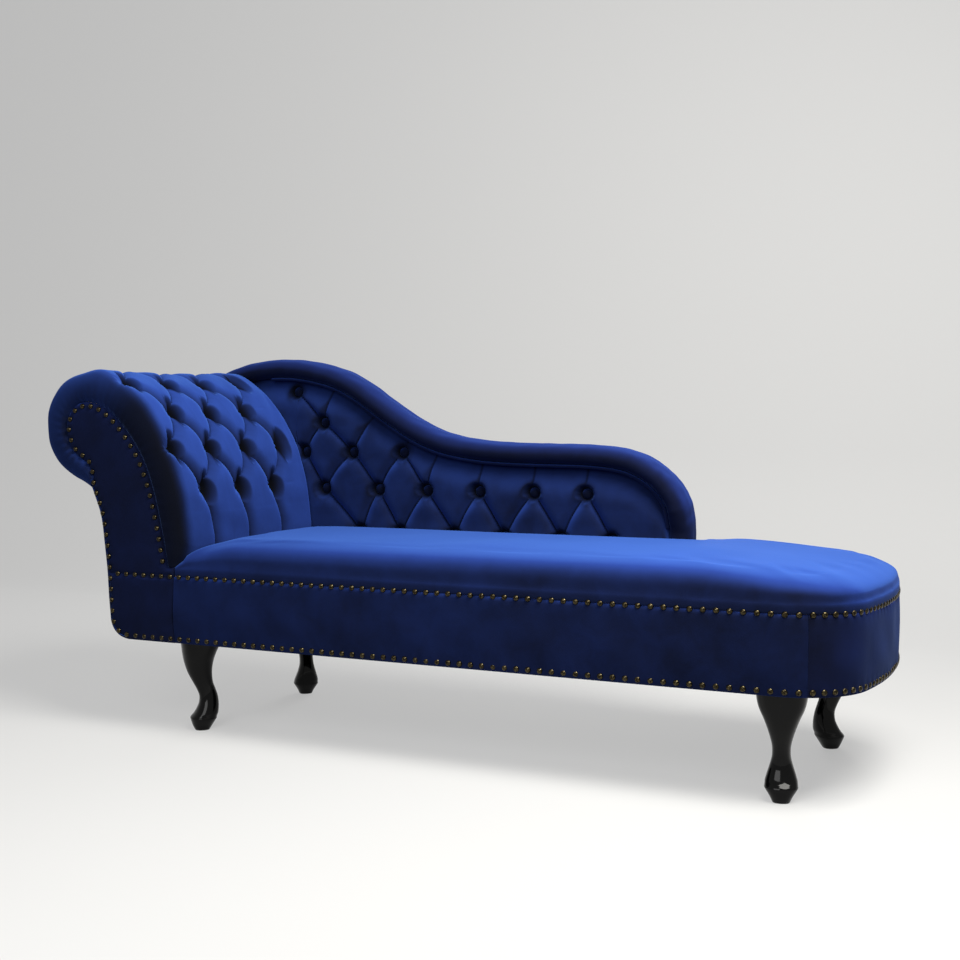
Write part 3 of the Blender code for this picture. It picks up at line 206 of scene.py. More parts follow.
@dataclass(frozen=True)
class CottonVelvet(Finish):
    """Woven cotton velvet with a dense cut pile.

    Its base colour has painted light: it is darker where the surface is seen straight on or stands upright,
    and lighter where it is seen edge on and faces up, with a painted sheen on such tops. It keeps the strokes
    of hands in broad darker and lighter patches. Round buttons, along folds and beside nails a painted shade
    turns it nearly black.
    """

    # Colours: the darkest shows where the surface is seen straight on or stands upright; the next is mixed in
    # as painted light where it is seen edge on and faces up, and by random strokes; the pale one is a painted
    # sheen on such tops; the sheen tint is for the real sheen; the near-black one is painted shade. The two
    # shares set how much painted light upright and level faces get.
    deep: str = "#060812"
    brushed_and_lit: str = "#2c4aa6"
    painted_sheen: str = "#4571b2"
    glow: str = "#7da0f0"
    painted_shade_colour: str = "#020307"
    upright: float = 0.14
    level: float = 0.92
    patch_mm: float = 260.0
    stroke_mm: float = 45.0
    pile_mm: float = 2.2

    def surface(self, tree: Tree, where: Socket) -> Node:
        """Returns the velvet's shader."""
        patches = add_node(tree, "TexNoise", {
            "Vector": where, "Scale": 1000 / self.patch_mm, "Detail": 2.0, "Roughness": 0.5,
            "Distortion": 0.3,
        })
        strokes = add_node(tree, "TexNoise", {
            "Vector": where, "Scale": 1000 / self.stroke_mm, "Detail": 3.0, "Roughness": 0.55,
            "Distortion": 0.4,
        })
        # Painted light: the colour brightens where the surface is seen edge on and where it faces up, and
        # stays dark on upright faces.
        grazing = add_node(tree, "LayerWeight", {"Blend": 0.42}).outputs["Facing"]
        normal = add_node(tree, "NewGeometry").outputs["Normal"]
        way = add_node(tree, "SeparateXYZ", {"Vector": normal})
        painted_top_light = add_node(tree, "MapRange", {
            "Value": way.outputs["Z"], "From Min": -0.05, "From Max": 0.38, "To Min": self.upright,
            "To Max": self.level,
        })
        edge = add_node(tree, "Math", {0: grazing, 1: painted_top_light.outputs[0]}, operation="MULTIPLY")
        painted_light_share = edge.outputs[0]
        nap = add_node(tree, "MapRange", {
            "Value": patches.outputs[0], "From Min": 0.3, "From Max": 0.7, "To Min": -0.02, "To Max": 0.03,
        })
        stroked = add_node(tree, "Math", {
            0: strokes.outputs[0], 1: 0.10, 2: nap.outputs[0],
        }, operation="MULTIPLY_ADD")
        share = add_node(tree, "Math", {
            0: painted_light_share, 1: stroked.outputs[0],
        }, operation="ADD", use_clamp=True)
        stroked_and_lit = add_node(tree, "Mix", {
            "Factor": share.outputs[0], 6: linear(self.deep), 7: linear(self.brushed_and_lit),
        }, data_type="RGBA")
        # Painted sheen: tops that are seen edge on turn paler.
        painted_sheen_share = add_node(tree, "MapRange", {
            "Value": painted_light_share, "From Min": 0.40, "From Max": 1.0, "To Max": 0.45,
        })
        with_painted_sheen = add_node(tree, "Mix", {
            "Factor": painted_sheen_share.outputs[0], 6: stroked_and_lit.outputs[2], 7: linear(self.painted_sheen),
        }, data_type="RGBA")
        # Painted shade: the attribute darkens the pile to near black in hollows, along folds and beside
        # nails.
        painted_shade = add_node(tree, "Attribute", attribute_name=SHADE_ATTRIBUTE)
        colour = add_node(tree, "Mix", {
            "Factor": painted_shade.outputs["Fac"], 6: with_painted_sheen.outputs[2], 7: linear(self.painted_shade_colour),
        }, data_type="RGBA")
        # A real pile is about 0.3 mm between tufts, which is too fine to show, so it is drawn coarser.
        pile = add_node(tree, "TexNoise", {
            "Vector": where, "Scale": 1000 / self.pile_mm, "Detail": 2.0, "Roughness": 0.7,
        })
        fine = add_node(tree, "Bump", {
            "Height": pile.outputs[0], "Strength": 0.30, "Distance": 0.0006,
        })
        rough = add_node(tree, "Bump", {
            "Height": strokes.outputs[0], "Strength": 0.25, "Distance": 0.0025, "Normal": fine.outputs[0],
        })
        return add_node(tree, "BsdfPrincipled", {
            "Base Color": colour.outputs[2], "Roughness": 0.85, "Specular IOR Level": 0.06,
            "Sheen Weight": 0.08, "Sheen Roughness": 0.40, "Sheen Tint": linear(self.glow),
            "Normal": rough.outputs[0],
        })


@dataclass(frozen=True)
class GlossLacquer(Finish):
    """Black nitrocellulose lacquer, sprayed and polished over turned wood.

    It mirrors lamps as hard white streaks, and a faint waviness of the coat makes them wander a little.
    """

    colour: str = "#060607"
    wave_mm: float = 26.0
    dust_mm: float = 3.0

    def surface(self, tree: Tree, where: Socket) -> Node:
        """Returns the lacquer's shader."""
        waves = add_node(tree, "TexNoise", {"Vector": where, "Scale": 1000 / self.wave_mm, "Detail": 1.0})
        dust = add_node(tree, "TexNoise", {"Vector": where, "Scale": 1000 / self.dust_mm, "Detail": 3.0})
        rough = add_node(tree, "MapRange", {
            "Value": dust.outputs[0], "From Min": 0.4, "From Max": 0.75, "To Min": 0.05, "To Max": 0.12,
        })
        bump = add_node(tree, "Bump", {"Height": waves.outputs[0], "Strength": 0.2, "Distance": 0.001})
        return add_node(tree, "BsdfPrincipled", {
            "Base Color": linear(self.colour), "Roughness": rough.outputs[0], "IOR": 1.5,
            "Specular IOR Level": 0.14, "Normal": bump.outputs[0],
        })


@dataclass(frozen=True)
class AntiqueBrass(Finish):
    """Pressed brass nail heads, darkened and rubbed back.

    The stain stays as brown specks, which are rougher than the bright brass.
    """

    bright: str = "#4a432f"
    stain: str = "#1c170f"
    speck_mm: float = 2.4

    def surface(self, tree: Tree, where: Socket) -> Node:
        """Returns the brass's shader."""
        specks = add_node(tree, "TexNoise", {"Vector": where, "Scale": 1000 / self.speck_mm, "Detail": 3.0})
        share = add_node(tree, "MapRange", {"Value": specks.outputs[0], "From Min": 0.36, "From Max": 0.60})
        colour = add_node(tree, "Mix", {
            "Factor": share.outputs[0], 6: linear(self.bright), 7: linear(self.stain),
        }, data_type="RGBA")
        rough = add_node(tree, "MapRange", {"Value": share.outputs[0], "To Min": 0.16, "To Max": 0.30})
        return add_node(tree, "BsdfPrincipled", {
            "Base Color": colour.outputs[2], "Metallic": 1.0, "Roughness": rough.outputs[0],
        })


@dataclass(frozen=True)
class SawnWood(Finish):
    """Wood that is planed or sawn and left bare. Its rings run along x as darker and lighter stripes."""

    light: str = "#cfa878"
    dark: str = "#a97c4c"
    ring_mm: float = 6.0
    run: tuple[float, float, float] = (0.06, 1.0, 1.0)

    def surface(self, tree: Tree, where: Socket) -> Node:
        """Returns the wood's shader."""
        along = add_node(tree, "Mapping", {"Vector": where, "Scale": self.run})
        rings = add_node(tree, "TexNoise", {
            "Vector": along.outputs[0], "Scale": 1000 / self.ring_mm, "Detail": 4.0, "Distortion": 0.8,
        })
        share = add_node(tree, "MapRange", {"Value": rings.outputs[0], "From Min": 0.35, "From Max": 0.7})
        colour = add_node(tree, "Mix", {
            "Factor": share.outputs[0], 6: linear(self.light), 7: linear(self.dark),
        }, data_type="RGBA")
        bump = add_node(tree, "Bump", {"Height": rings.outputs[0], "Strength": 0.25, "Distance": 0.0004})
        return add_node(tree, "BsdfPrincipled", {
            "Base Color": colour.outputs[2], "Roughness": 0.62, "Normal": bump.outputs[0],
        })


@dataclass(frozen=True)
class BlockFoam(Finish):
    """Polyurethane foam, blown in blocks and cut. Open cells leave a fine sponge of pits."""

    colour: str = "#e4d9b0"
    cell_mm: float = 2.0

    def surface(self, tree: Tree, where: Socket) -> Node:
        """Returns the foam's shader."""
        cells = add_node(tree, "TexVoronoi", {"Vector": where, "Scale": 1000 / self.cell_mm})
        bump = add_node(tree, "Bump", {"Height": cells.outputs[0], "Strength": 0.5, "Distance": 0.0008})
        return add_node(tree, "BsdfPrincipled", {
            "Base Color": linear(self.colour), "Roughness": 0.95, "Normal": bump.outputs[0],
        })


@dataclass(frozen=True)
class PlainWeave(Finish):
    """Plain woven cloth, from jute webbing to cambric. Threads cross as a square net of small bumps."""

    thread: str = "#9a7f52"
    shade: str = "#6b5633"
    thread_mm: float = 2.6

    def surface(self, tree: Tree, where: Socket) -> Node:
        """Returns the cloth's shader."""
        scale = 1000 / (self.thread_mm * 2 * math.pi)
        warp = add_node(tree, "TexWave", {"Vector": where, "Scale": scale}, bands_direction="X")
        weft = add_node(tree, "TexWave", {"Vector": where, "Scale": scale}, bands_direction="Y")
        net = add_node(tree, "Math", {0: warp.outputs[1], 1: weft.outputs[1]}, operation="MULTIPLY")
        colour = add_node(tree, "Mix", {
            "Factor": net.outputs[0], 6: linear(self.shade), 7: linear(self.thread),
        }, data_type="RGBA")
        bump = add_node(tree, "Bump", {"Height": net.outputs[0], "Strength": 0.6, "Distance": 0.0005})
        return add_node(tree, "BsdfPrincipled", {
            "Base Color": colour.outputs[2], "Roughness": 0.9, "Normal": bump.outputs[0],
        })


@dataclass(frozen=True)
class ZincPlate(Finish):
    """Steel fasteners with a passivated zinc coat. Crystals of the coat mottle a satin grey."""

    colour: str = "#b9babb"
    crystal_mm: float = 1.5

    def surface(self, tree: Tree, where: Socket) -> Node:
        """Returns the coat's shader."""
        crystals = add_node(tree, "TexVoronoi", {"Vector": where, "Scale": 1000 / self.crystal_mm})
        rough = add_node(tree, "MapRange", {"Value": crystals.outputs[0], "To Min": 0.28, "To Max": 0.46})
        return add_node(tree, "BsdfPrincipled", {
            "Base Color": linear(self.colour), "Metallic": 1.0, "Roughness": rough.outputs[0],
        })


def looked_at(tree: Tree) -> Socket:
    """Adds the test of whether a surface is seen, straight on, in a gloss or through glass.

    Args:
        tree: the node tree that gets the nodes.

    Returns:
        A socket that is 1 for such rays and 0 for others.
    """
    ray = add_node(tree, "LightPath")
    gloss = add_node(tree, "Math", {
        0: ray.outputs["Is Glossy Ray"], 1: ray.outputs["Is Transmission Ray"],
    }, operation="MAXIMUM")
    seen = ray.outputs["Is Camera Ray"]
    return add_node(tree, "Math", {0: seen, 1: gloss.outputs[0]}, operation="MAXIMUM").outputs[0]


@dataclass(frozen=True)
class PaintedPlaster(Finish):
    """Matt emulsion on plaster, for the floor and the wall behind. To the camera it is a little brighter.

    It has one side only and casts no shadow, so that the piece can also be looked at from behind and from
    below.
    """

    colour: str = "#929291"
    lift: float = 0.42

    def surface(self, tree: Tree, where: Socket) -> Node:
        """Returns the paint's shader."""
        grit = add_node(tree, "TexNoise", {"Vector": where, "Scale": 60.0, "Detail": 3.0})
        bump = add_node(tree, "Bump", {"Height": grit.outputs[0], "Strength": 0.05, "Distance": 0.002})
        glow = add_node(tree, "Math", {0: looked_at(tree), 1: self.lift}, operation="MULTIPLY")
        paint = add_node(tree, "BsdfPrincipled", {
            "Base Color": linear(self.colour), "Roughness": 0.85, "Normal": bump.outputs[0],
            "Emission Color": (1.0, 1.0, 1.0, 1.0), "Emission Strength": glow.outputs[0],
        })
        behind = add_node(tree, "NewGeometry").outputs["Backfacing"]
        return add_node(tree, "MixShader", {
            0: behind, 1: paint.outputs[0], 2: add_node(tree, "BsdfTransparent").outputs[0],
        })


VELVET = CottonVelvet("royal_blue_cotton_velvet")
# Lighter and darker copies of the velvet, as painted light and painted shade: the lighter one for the
# buttoned pads, the darker one for the roll, the flat covers and the foot band.
PAINTED_LIGHTER_VELVET = CottonVelvet(
    "royal_blue_cotton_velvet_painted_lighter", brushed_and_lit="#375bc2", painted_sheen="#4e7fc0", upright=0.42, level=0.80
)
PAINTED_DARKER_VELVET = CottonVelvet("royal_blue_cotton_velvet_painted_darker", brushed_and_lit="#223680", painted_sheen="#2c4890")
LACQUER = GlossLacquer("black_gloss_lacquer")
BRASS = AntiqueBrass("antique_brass")
CARRIED = {
    Slot.BEECH: SawnWood("sawn_beech"),
    Slot.PLYWOOD: SawnWood("birch_plywood", light="#dcc394", dark="#c2a06b", ring_mm=14.0),
    Slot.STEEL: ZincPlate("zinc_plated_steel"),
}
FOAM = BlockFoam("polyurethane_foam")
JUTE = PlainWeave("jute_webbing")
HESSIAN = PlainWeave("hessian", thread="#b59a68", shade="#7d6640", thread_mm=2.2)
CAMBRIC = PlainWeave("black_cambric", thread="#17171a", shade="#0b0b0c", thread_mm=1.6)


def linked(name: str, data: bpy.types.ID) -> bpy.types.Object:
    """Returns a new object of the scene that shows this data."""
    obj = bpy.data.objects.new(name, data)
    bpy.context.scene.collection.objects.link(obj)
    return obj


def mesh_object(name: str, points: Points, faces: list, sharp: float = 55.0) -> bpy.types.Object:
    """Makes a smooth-shaded object whose faces point outwards.

    Args:
        name: the piece's name.
        points: one row for each vertex.
        faces: the vertex numbers of each face.
        sharp: edges that turn by more than this many degrees stay sharp.

    Returns:
        The linked object.
    """
    mesh = bpy.data.meshes.new(name)
    mesh.from_pydata(points.tolist(), [], [[int(i) for i in face] for face in faces])
    build = bmesh.new()
    build.from_mesh(mesh)
    bmesh.ops.recalc_face_normals(build, faces=build.faces)
    build.to_mesh(mesh)
    build.free()
    mesh.shade_smooth()
    mesh.set_sharp_from_angle(angle=math.radians(sharp))
    return linked(name, mesh)


def dress(
    obj: bpy.types.Object, finish: Finish, nodes: tuple = ()
) -> None:
    """Gives a piece its finish and its place on the frame, and hides the solids that it stands for.

    Args:
        obj: the piece.
        finish: what its surface is made of.
        nodes: names of the solids that it replaces.
    """
    obj.data.materials.clear()
    obj.data.materials.append(finish.material())
    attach(obj, "root")
    if nodes:
        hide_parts(*nodes)
    log.info("%s: %d faces in %s", obj.name, len(obj.data.polygons), finish.name)


def store_painted_shade(obj: bpy.types.Object, share: Points) -> None:
    """Stores the painted shade at each vertex, from 0 to 1, by which the velvet darkens towards near black.
    """
    layer = obj.data.attributes.new(SHADE_ATTRIBUTE, "FLOAT", "POINT")
    layer.data.foreach_set("value", np.clip(share, 0.0, 1.0).astype(np.float32).ravel())


def between(index: Points) -> Points:
    """Returns the four-sided faces between closed rows of vertex numbers."""
    ahead = np.roll(index, -1, axis=1)
    return np.stack([index[:-1], ahead[:-1], ahead[1:], index[1:]], axis=-1).reshape(-1, 4)


def loft(name: str, rings: Points, sharp: float = 55.0) -> bpy.types.Object:
    """Makes a closed body through rings of points, with flat ends.

    Args:
        name: the piece's name.
        rings: an array of rings by points by three.
        sharp: edges that turn by more than this many degrees stay sharp.

    Returns:
        The linked object.
    """
    count, around = rings.shape[:2]
    index = np.arange(count * around).reshape(count, around)
    faces = between(index).tolist() + [index[0].tolist(), index[-1][::-1].tolist()]
    return mesh_object(name, rings.reshape(-1, 3), faces, sharp)


def spline(points: list, steps: int) -> Points:
    """Returns a smooth curve through the points.

    Args:
        points: the places that the curve passes through.
        steps: how many steps lie between neighbours.

    Returns:
        One row for each point of the curve.
    """
    given = np.asarray(points, float)
    ends = np.vstack([2 * given[0] - given[1], given, 2 * given[-1] - given[-2]])
    t = (np.arange(steps) / steps)[:, None]
    parts = []
    for before, start, end, after in zip(ends, ends[1:], ends[2:], ends[3:]):
        curve = 2 * start + (end - before) * t + (2 * before - 5 * start + 4 * end - after) * t**2
        parts.append(0.5 * (curve + (3 * start - before - 3 * end + after) * t**3))
    return np.vstack([*parts, given[-1:]])


def arc(centre: Place, radius: float, start: float, end: float, steps: int) -> Points:
    """Returns points on a circle.

    Args:
        centre: the circle's centre.
        radius: its radius.
        start: the first angle in degrees.
        end: the last angle in degrees.
        steps: how many steps lie between them.

    Returns:
        One row for each point.
    """
    turn = np.radians(np.linspace(start, end, steps + 1))
    return np.stack([centre[0] + radius * np.cos(turn), centre[1] + radius * np.sin(turn)], axis=1)


def ease(value: Points, start: float, end: float) -> Points:
    """Rises smoothly from 0 to 1.

    Args:
        value: where the share is asked for.
        start: the value at which it leaves 0.
        end: the value at which it reaches 1.

    Returns:
        The share at each value.
    """
    share = np.clip((value - start) / (end - start), 0.0, 1.0)
    return share * share * (3 - 2 * share)


def hill(value: Points, start: float, full: float, fades: float, end: float) -> Points:
    """Rises smoothly from 0 to 1 and falls back to 0.

    Args:
        value: where the share is asked for.
        start: the value at which it leaves 0.
        full: the value at which it reaches 1.
        fades: the value at which it leaves 1.
        end: the value at which it is 0 again.

    Returns:
        The share at each value.
    """
    return ease(value, start, full) * (1 - ease(value, fades, end))


def ripple(u: Points, v: Points, length: float, seed: int) -> Points:
    """Uneven waves between -1 and 1, as cloth has that is stretched by hand.

    Args:
        u: first coordinate of each place.
        v: second coordinate of each place.
        length: the usual length of a wave.
        seed: which waves to draw.

    Returns:
        The height of the waves at each place.
    """
    chance = np.random.default_rng(seed)
    total = np.zeros(np.broadcast(u, v).shape)
    count = 7
    for _ in range(count):
        turn = chance.uniform(0, math.pi)
        phase = chance.uniform(0, 2 * math.pi)
        stretch = chance.uniform(0.7, 1.6)
        total += np.sin(2 * math.pi * (u * math.cos(turn) + v * math.sin(turn)) / (length * stretch) + phase)
    return total / count**0.5


@dataclass
class Route:
    """A line in a plane that can be asked for places at distances along it."""

    points: Points

    @cached_property
    def marks(self) -> Points:
        """Distance of each point along the line."""
        steps = np.linalg.norm(np.diff(self.points, axis=0), axis=1)
        return np.concatenate([[0.0], np.cumsum(steps)])

    @property
    def length(self) -> float:
        """Length of the whole line."""
        return float(self.marks[-1])

    def at(self, distance: Points) -> Points:
        """Returns the places at these distances."""
        return np.stack([np.interp(distance, self.marks, self.points[:, k]) for k in range(2)], axis=-1)

    def along(self, distance: Points) -> Points:
        """Returns the unit vectors along the line at these distances."""
        reach = 0.004
        run = self.at(distance + reach) - self.at(distance - reach)
        return run / np.linalg.norm(run, axis=-1, keepdims=True)

    def right(self, distance: Points) -> Points:
        """Returns the unit vectors to the right of the line at these distances."""
        run = self.along(distance)
        return np.stack([run[..., 1], -run[..., 0]], axis=-1)

    def even(self, pitch: float) -> Points:
        """Returns distances over the whole line, about one pitch apart."""
        return np.linspace(0.0, self.length, max(1, round(self.length / pitch)) + 1)


CURVE_STEPS = 24
HEAD_ROUTE = Route(spline(HEAD_SURFACE, CURVE_STEPS))
NAIL_CURVE = spline(HEAD_NAILS, CURVE_STEPS)
ROLL_ROUTE = Route(spline(ROLL_LINE, CURVE_STEPS))


def outside_line(inset: float) -> Points:
    """The outside of the head in side view, from the throat to the underside of the base.

    Args:
        inset: how far the line is moved inwards.

    Returns:
        One row of x and z for each point.
    """
    side = Route(spline([*OUTSIDE_LINE, (OUTSIDE_BASE_X, BASE_BOTTOM + OUTSIDE_CORNER)], 8))
    places = side.points - side.right(side.marks) * inset
    centre = (OUTSIDE_BASE_X + OUTSIDE_CORNER, BASE_BOTTOM + OUTSIDE_CORNER)
    return np.vstack([places[:-1], arc(centre, OUTSIDE_CORNER - inset, 180, 270, 12)])


def corner_centre() -> tuple[float, float, float]:
    """Returns x and y of the round corner's centre, and the angle where it meets the bow of the end."""
    side = DEPTH / 2 - CORNER_RADIUS
    reach = END_BOW_RADIUS - CORNER_RADIUS
    centre_x = FOOT_END - END_BOW_RADIUS + math.sqrt(reach**2 - side**2)
    return centre_x, side, math.degrees(math.asin(side / reach))


def foot_curve(inset: float, seam: float = 90.0, corner_steps: int = 16, bow_steps: int = 26) -> Points:
    """The rounded foot end in plan.

    Args:
        inset: how far the line is moved inwards.
        seam: the angle on both corners between which it runs.
        corner_steps: steps on each corner.
        bow_steps: steps on the bow of the end.

    Returns:
        One row of x and y for each point, from the front corner to the rear one.
    """
    centre_x, side, meet = corner_centre()
    radius = CORNER_RADIUS - inset
    front = arc((centre_x, -side), radius, -seam, -meet, corner_steps)
    bow = arc((FOOT_END - END_BOW_RADIUS, 0.0), END_BOW_RADIUS - inset, -meet, meet, bow_steps)
    rear = arc((centre_x, side), radius, meet, seam, corner_steps)
    return np.vstack([front[:-1], bow, rear[1:]])


@dataclass(frozen=True)
class Fold:
    """A fold between two buttons, or from a button to the edge, in the flat of the cover."""

    start: Place
    end: Place
    start_depth: float
    end_depth: float
    middle_depth: float
    bow: Place = (0.0, 0.0)


@dataclass(frozen=True)
class DeepButtoning:
    """Cloth and wadding drawn down by buttons, with folded diamonds between them."""

    button_depth: float = 0.024
    fold_depth: float = 0.011
    pleat_depth: float = 0.007
    crown: float = 0.0085
    radius: float = 0.046
    softness: float = 0.0012
    pit_depth: float = 0.027
    pit_radius: float = 0.007
    pit_width: float = 0.023
    pit_shift: float = 0.009
    pit_stretch: float = 1.65
    pit_left: float = 3.0
    # Painted shade: how far round each button the pile darkens, and how far from each fold and how much
    painted_shade_from: float = 0.014
    painted_shade_to: float = 0.031
    line_reach: float = 0.0042
    line_share: float = 0.75
    steps: int = 8
    bow_power: float = 1.3
    # Small puckers round each button, and the waves of the cloth between them
    pucker_reach: float = 0.030
    pucker_height: float = 0.0007
    crease_height: float = 0.0005
    crease_length: float = 0.05

    def depths(self) -> tuple[float, float, float]:
        """Returns how deep a fold is at a button, halfway between two buttons and in a pleat."""
        return self.button_depth, self.fold_depth, self.pleat_depth

    def height(self, along: Points, across: Points, folds: list[Fold], buttons: list[Place]) -> Points:
        """Height of the cover above its datum.

        Args:
            along: first coordinate of each place, the one that runs upwards.
            across: second coordinate of each place.
            folds: every fold of the cover.
            buttons: places of the buttons.

        Returns:
            The height at each place.
        """
        total = np.full(along.shape, math.exp(-self.crown / self.softness))
        for place in buttons:
            total += np.exp(-self.pit(along, across, place) / self.softness)
        for fold in folds:
            near = self.near(along, across, fold, self.radius)
            if near.any():
                total[near] += np.exp(-self.beside(along[near], across[near], fold) / self.softness)
        return -self.softness * np.log(total)

    def near(self, along: Points, across: Points, fold: Fold, reach: float) -> Points:
        """Returns True for each place that may lie within the reach of a fold."""
        low = np.minimum(fold.start, fold.end) - reach - np.abs(fold.bow)
        high = np.maximum(fold.start, fold.end) + reach + np.abs(fold.bow)
        return (along > low[0]) & (along < high[0]) & (across > low[1]) & (across < high[1])

    def trace(self, along: Points, across: Points, fold: Fold) -> tuple[Points, Points]:
        """Finds the nearest point of a fold.

        Args:
            along: first coordinate of each place.
            across: second coordinate of each place.
            fold: the fold.

        Returns:
            Each place's distance from the fold, and the share of the fold before the nearest point.
        """
        shares = np.linspace(0.0, 1.0, self.steps + 1)
        line = np.outer(1 - shares, fold.start) + np.outer(shares, fold.end)
        line += np.outer(np.sin(math.pi * shares) ** self.bow_power, fold.bow)
        distance = np.full(along.shape, np.inf)
        share = np.zeros(along.shape)
        for i, (start, end) in enumerate(zip(line, line[1:])):
            run = end - start
            part = ((along - start[0]) * run[0] + (across - start[1]) * run[1]) / (run @ run)
            part = np.clip(part, 0.0, 1.0)
            off = np.hypot(along - start[0] - run[0] * part, across - start[1] - run[1] * part)
            share = np.where(off < distance, (i + part) / self.steps, share)
            distance = np.minimum(distance, off)
        return distance, share

    def beside(self, along: Points, across: Points, fold: Fold) -> Points:
        """Height that one fold allows at places near it.

        Args:
            along: first coordinate of each place.
            across: second coordinate of each place.
            fold: the fold.

        Returns:
            The height at each place.
        """
        distance, share = self.trace(along, across, fold)
        ends = fold.start_depth + (fold.end_depth - fold.start_depth) * share
        depth = fold.middle_depth + (ends - fold.middle_depth) * np.abs(2 * share - 1) ** 3
        rise = np.sqrt(1 - (1 - np.minimum(distance / self.radius, 1.0)) ** 2)
        return -depth + (depth + self.crown) * rise

    def pit(self, along: Points, across: Points, button: Place) -> Points:
        """Height that the hollow round one button allows, long upwards and steep on its left.

        Args:
            along: first coordinate of each place.
            across: second coordinate of each place.
            button: the button's place.

        Returns:
            The height at each place.
        """
        away = self.from_pit(along, across, button)
        wall = ease(away, self.pit_radius, self.pit_radius + self.pit_width)
        return -self.pit_depth + (self.pit_depth + self.crown) * wall

    def from_pit(self, along: Points, across: Points, button: Place) -> Points:
        """Returns each place's distance from a button's hollow, shorter along it and longer on its left."""
        aside = across - button[1] - self.pit_shift
        aside = np.where(aside < 0, aside * self.pit_left, aside)
        return np.hypot((along - button[0]) / self.pit_stretch, aside)

    def painted_shade(self, along: Points, across: Points, folds: list[Fold], buttons: list[Place]) -> Points:
        """Painted shade in the hollows round the buttons and along the folds.

        Args:
            along: first coordinate of each place.
            across: second coordinate of each place.
            folds: every fold of the cover.
            buttons: places of the buttons.

        Returns:
            A share from 0 to 1 at each place.
        """
        total = np.zeros(along.shape)
        for place in buttons:
            away = self.from_pit(along, across, place)
            total = np.maximum(total, 1 - ease(away, self.painted_shade_from, self.painted_shade_to))
        for fold in folds:
            near = self.near(along, across, fold, self.line_reach)
            if near.any() and fold.middle_depth > 0:
                distance, _ = self.trace(along[near], across[near], fold)
                line = self.line_share * (1 - ease(distance, 0.0, self.line_reach))
                total[near] = np.maximum(total[near], line)
        return total

    def puckers(self, along: Points, across: Points, buttons: list[Place]) -> Points:
        """Short gathers that run out from each button.

        Args:
            along: first coordinate of each place.
            across: second coordinate of each place.
            buttons: places of the buttons.

        Returns:
            The height of the gathers at each place.
        """
        total = np.zeros(along.shape)
        for i, (u, v) in enumerate(buttons):
            away = np.hypot(along - u, across - v)
            near = away < self.pucker_reach
            turn = np.arctan2(across[near] - v, along[near] - u)
            fade = np.sin(math.pi * away[near] / self.pucker_reach) ** 2
            uneven = 1 + 0.6 * np.cos(3 * turn + 2 * i)
            total[near] += self.pucker_height * fade * np.cos(11 * turn + i) * uneven
        return total


BUTTONING = DeepButtoning()


@dataclass
class CoveredButton:
    """A velvet-covered button, a low dome drawn down into the cover."""

    radius: float = 0.0112
    height: float = 0.0062
    sides: int = 28
    rings: int = 8
    lowest: float = -35.0
    sweep: float = 118.0
    fullness: float = 0.8
    # Painted shade over the whole button, which sits in its hollow.
    painted_shade: float = 0.6
    mesh: bpy.types.Mesh | None = None

    def place(self, name: str, centre: Points, outward: Points) -> None:
        """Adds one button.

        Args:
            name: the piece's name.
            centre: where the middle of its base lies.
            outward: the way that its dome points.
        """
        if self.mesh is None:
            turn = np.linspace(0, 2 * math.pi, self.sides, endpoint=False)
            rings = []
            for i in range(self.rings):
                lift = math.radians(self.lowest + self.sweep * i / (self.rings - 1))
                reach = self.radius * math.cos(lift) ** self.fullness
                rise = np.full(self.sides, self.height * math.sin(lift))
                rings.append(np.stack([reach * np.cos(turn), reach * np.sin(turn), rise], axis=1))
            made = loft("covered_button", np.array(rings))
            store_painted_shade(made, np.full(len(made.data.vertices), self.painted_shade))
            self.mesh = made.data
            bpy.data.objects.remove(made)
        obj = linked(name, self.mesh)
        obj.rotation_euler = Vector(outward).to_track_quat("Z", "Y").to_euler()
        obj.location = Vector(centre)
        dress(obj, VELVET)


BUTTON = CoveredButton()


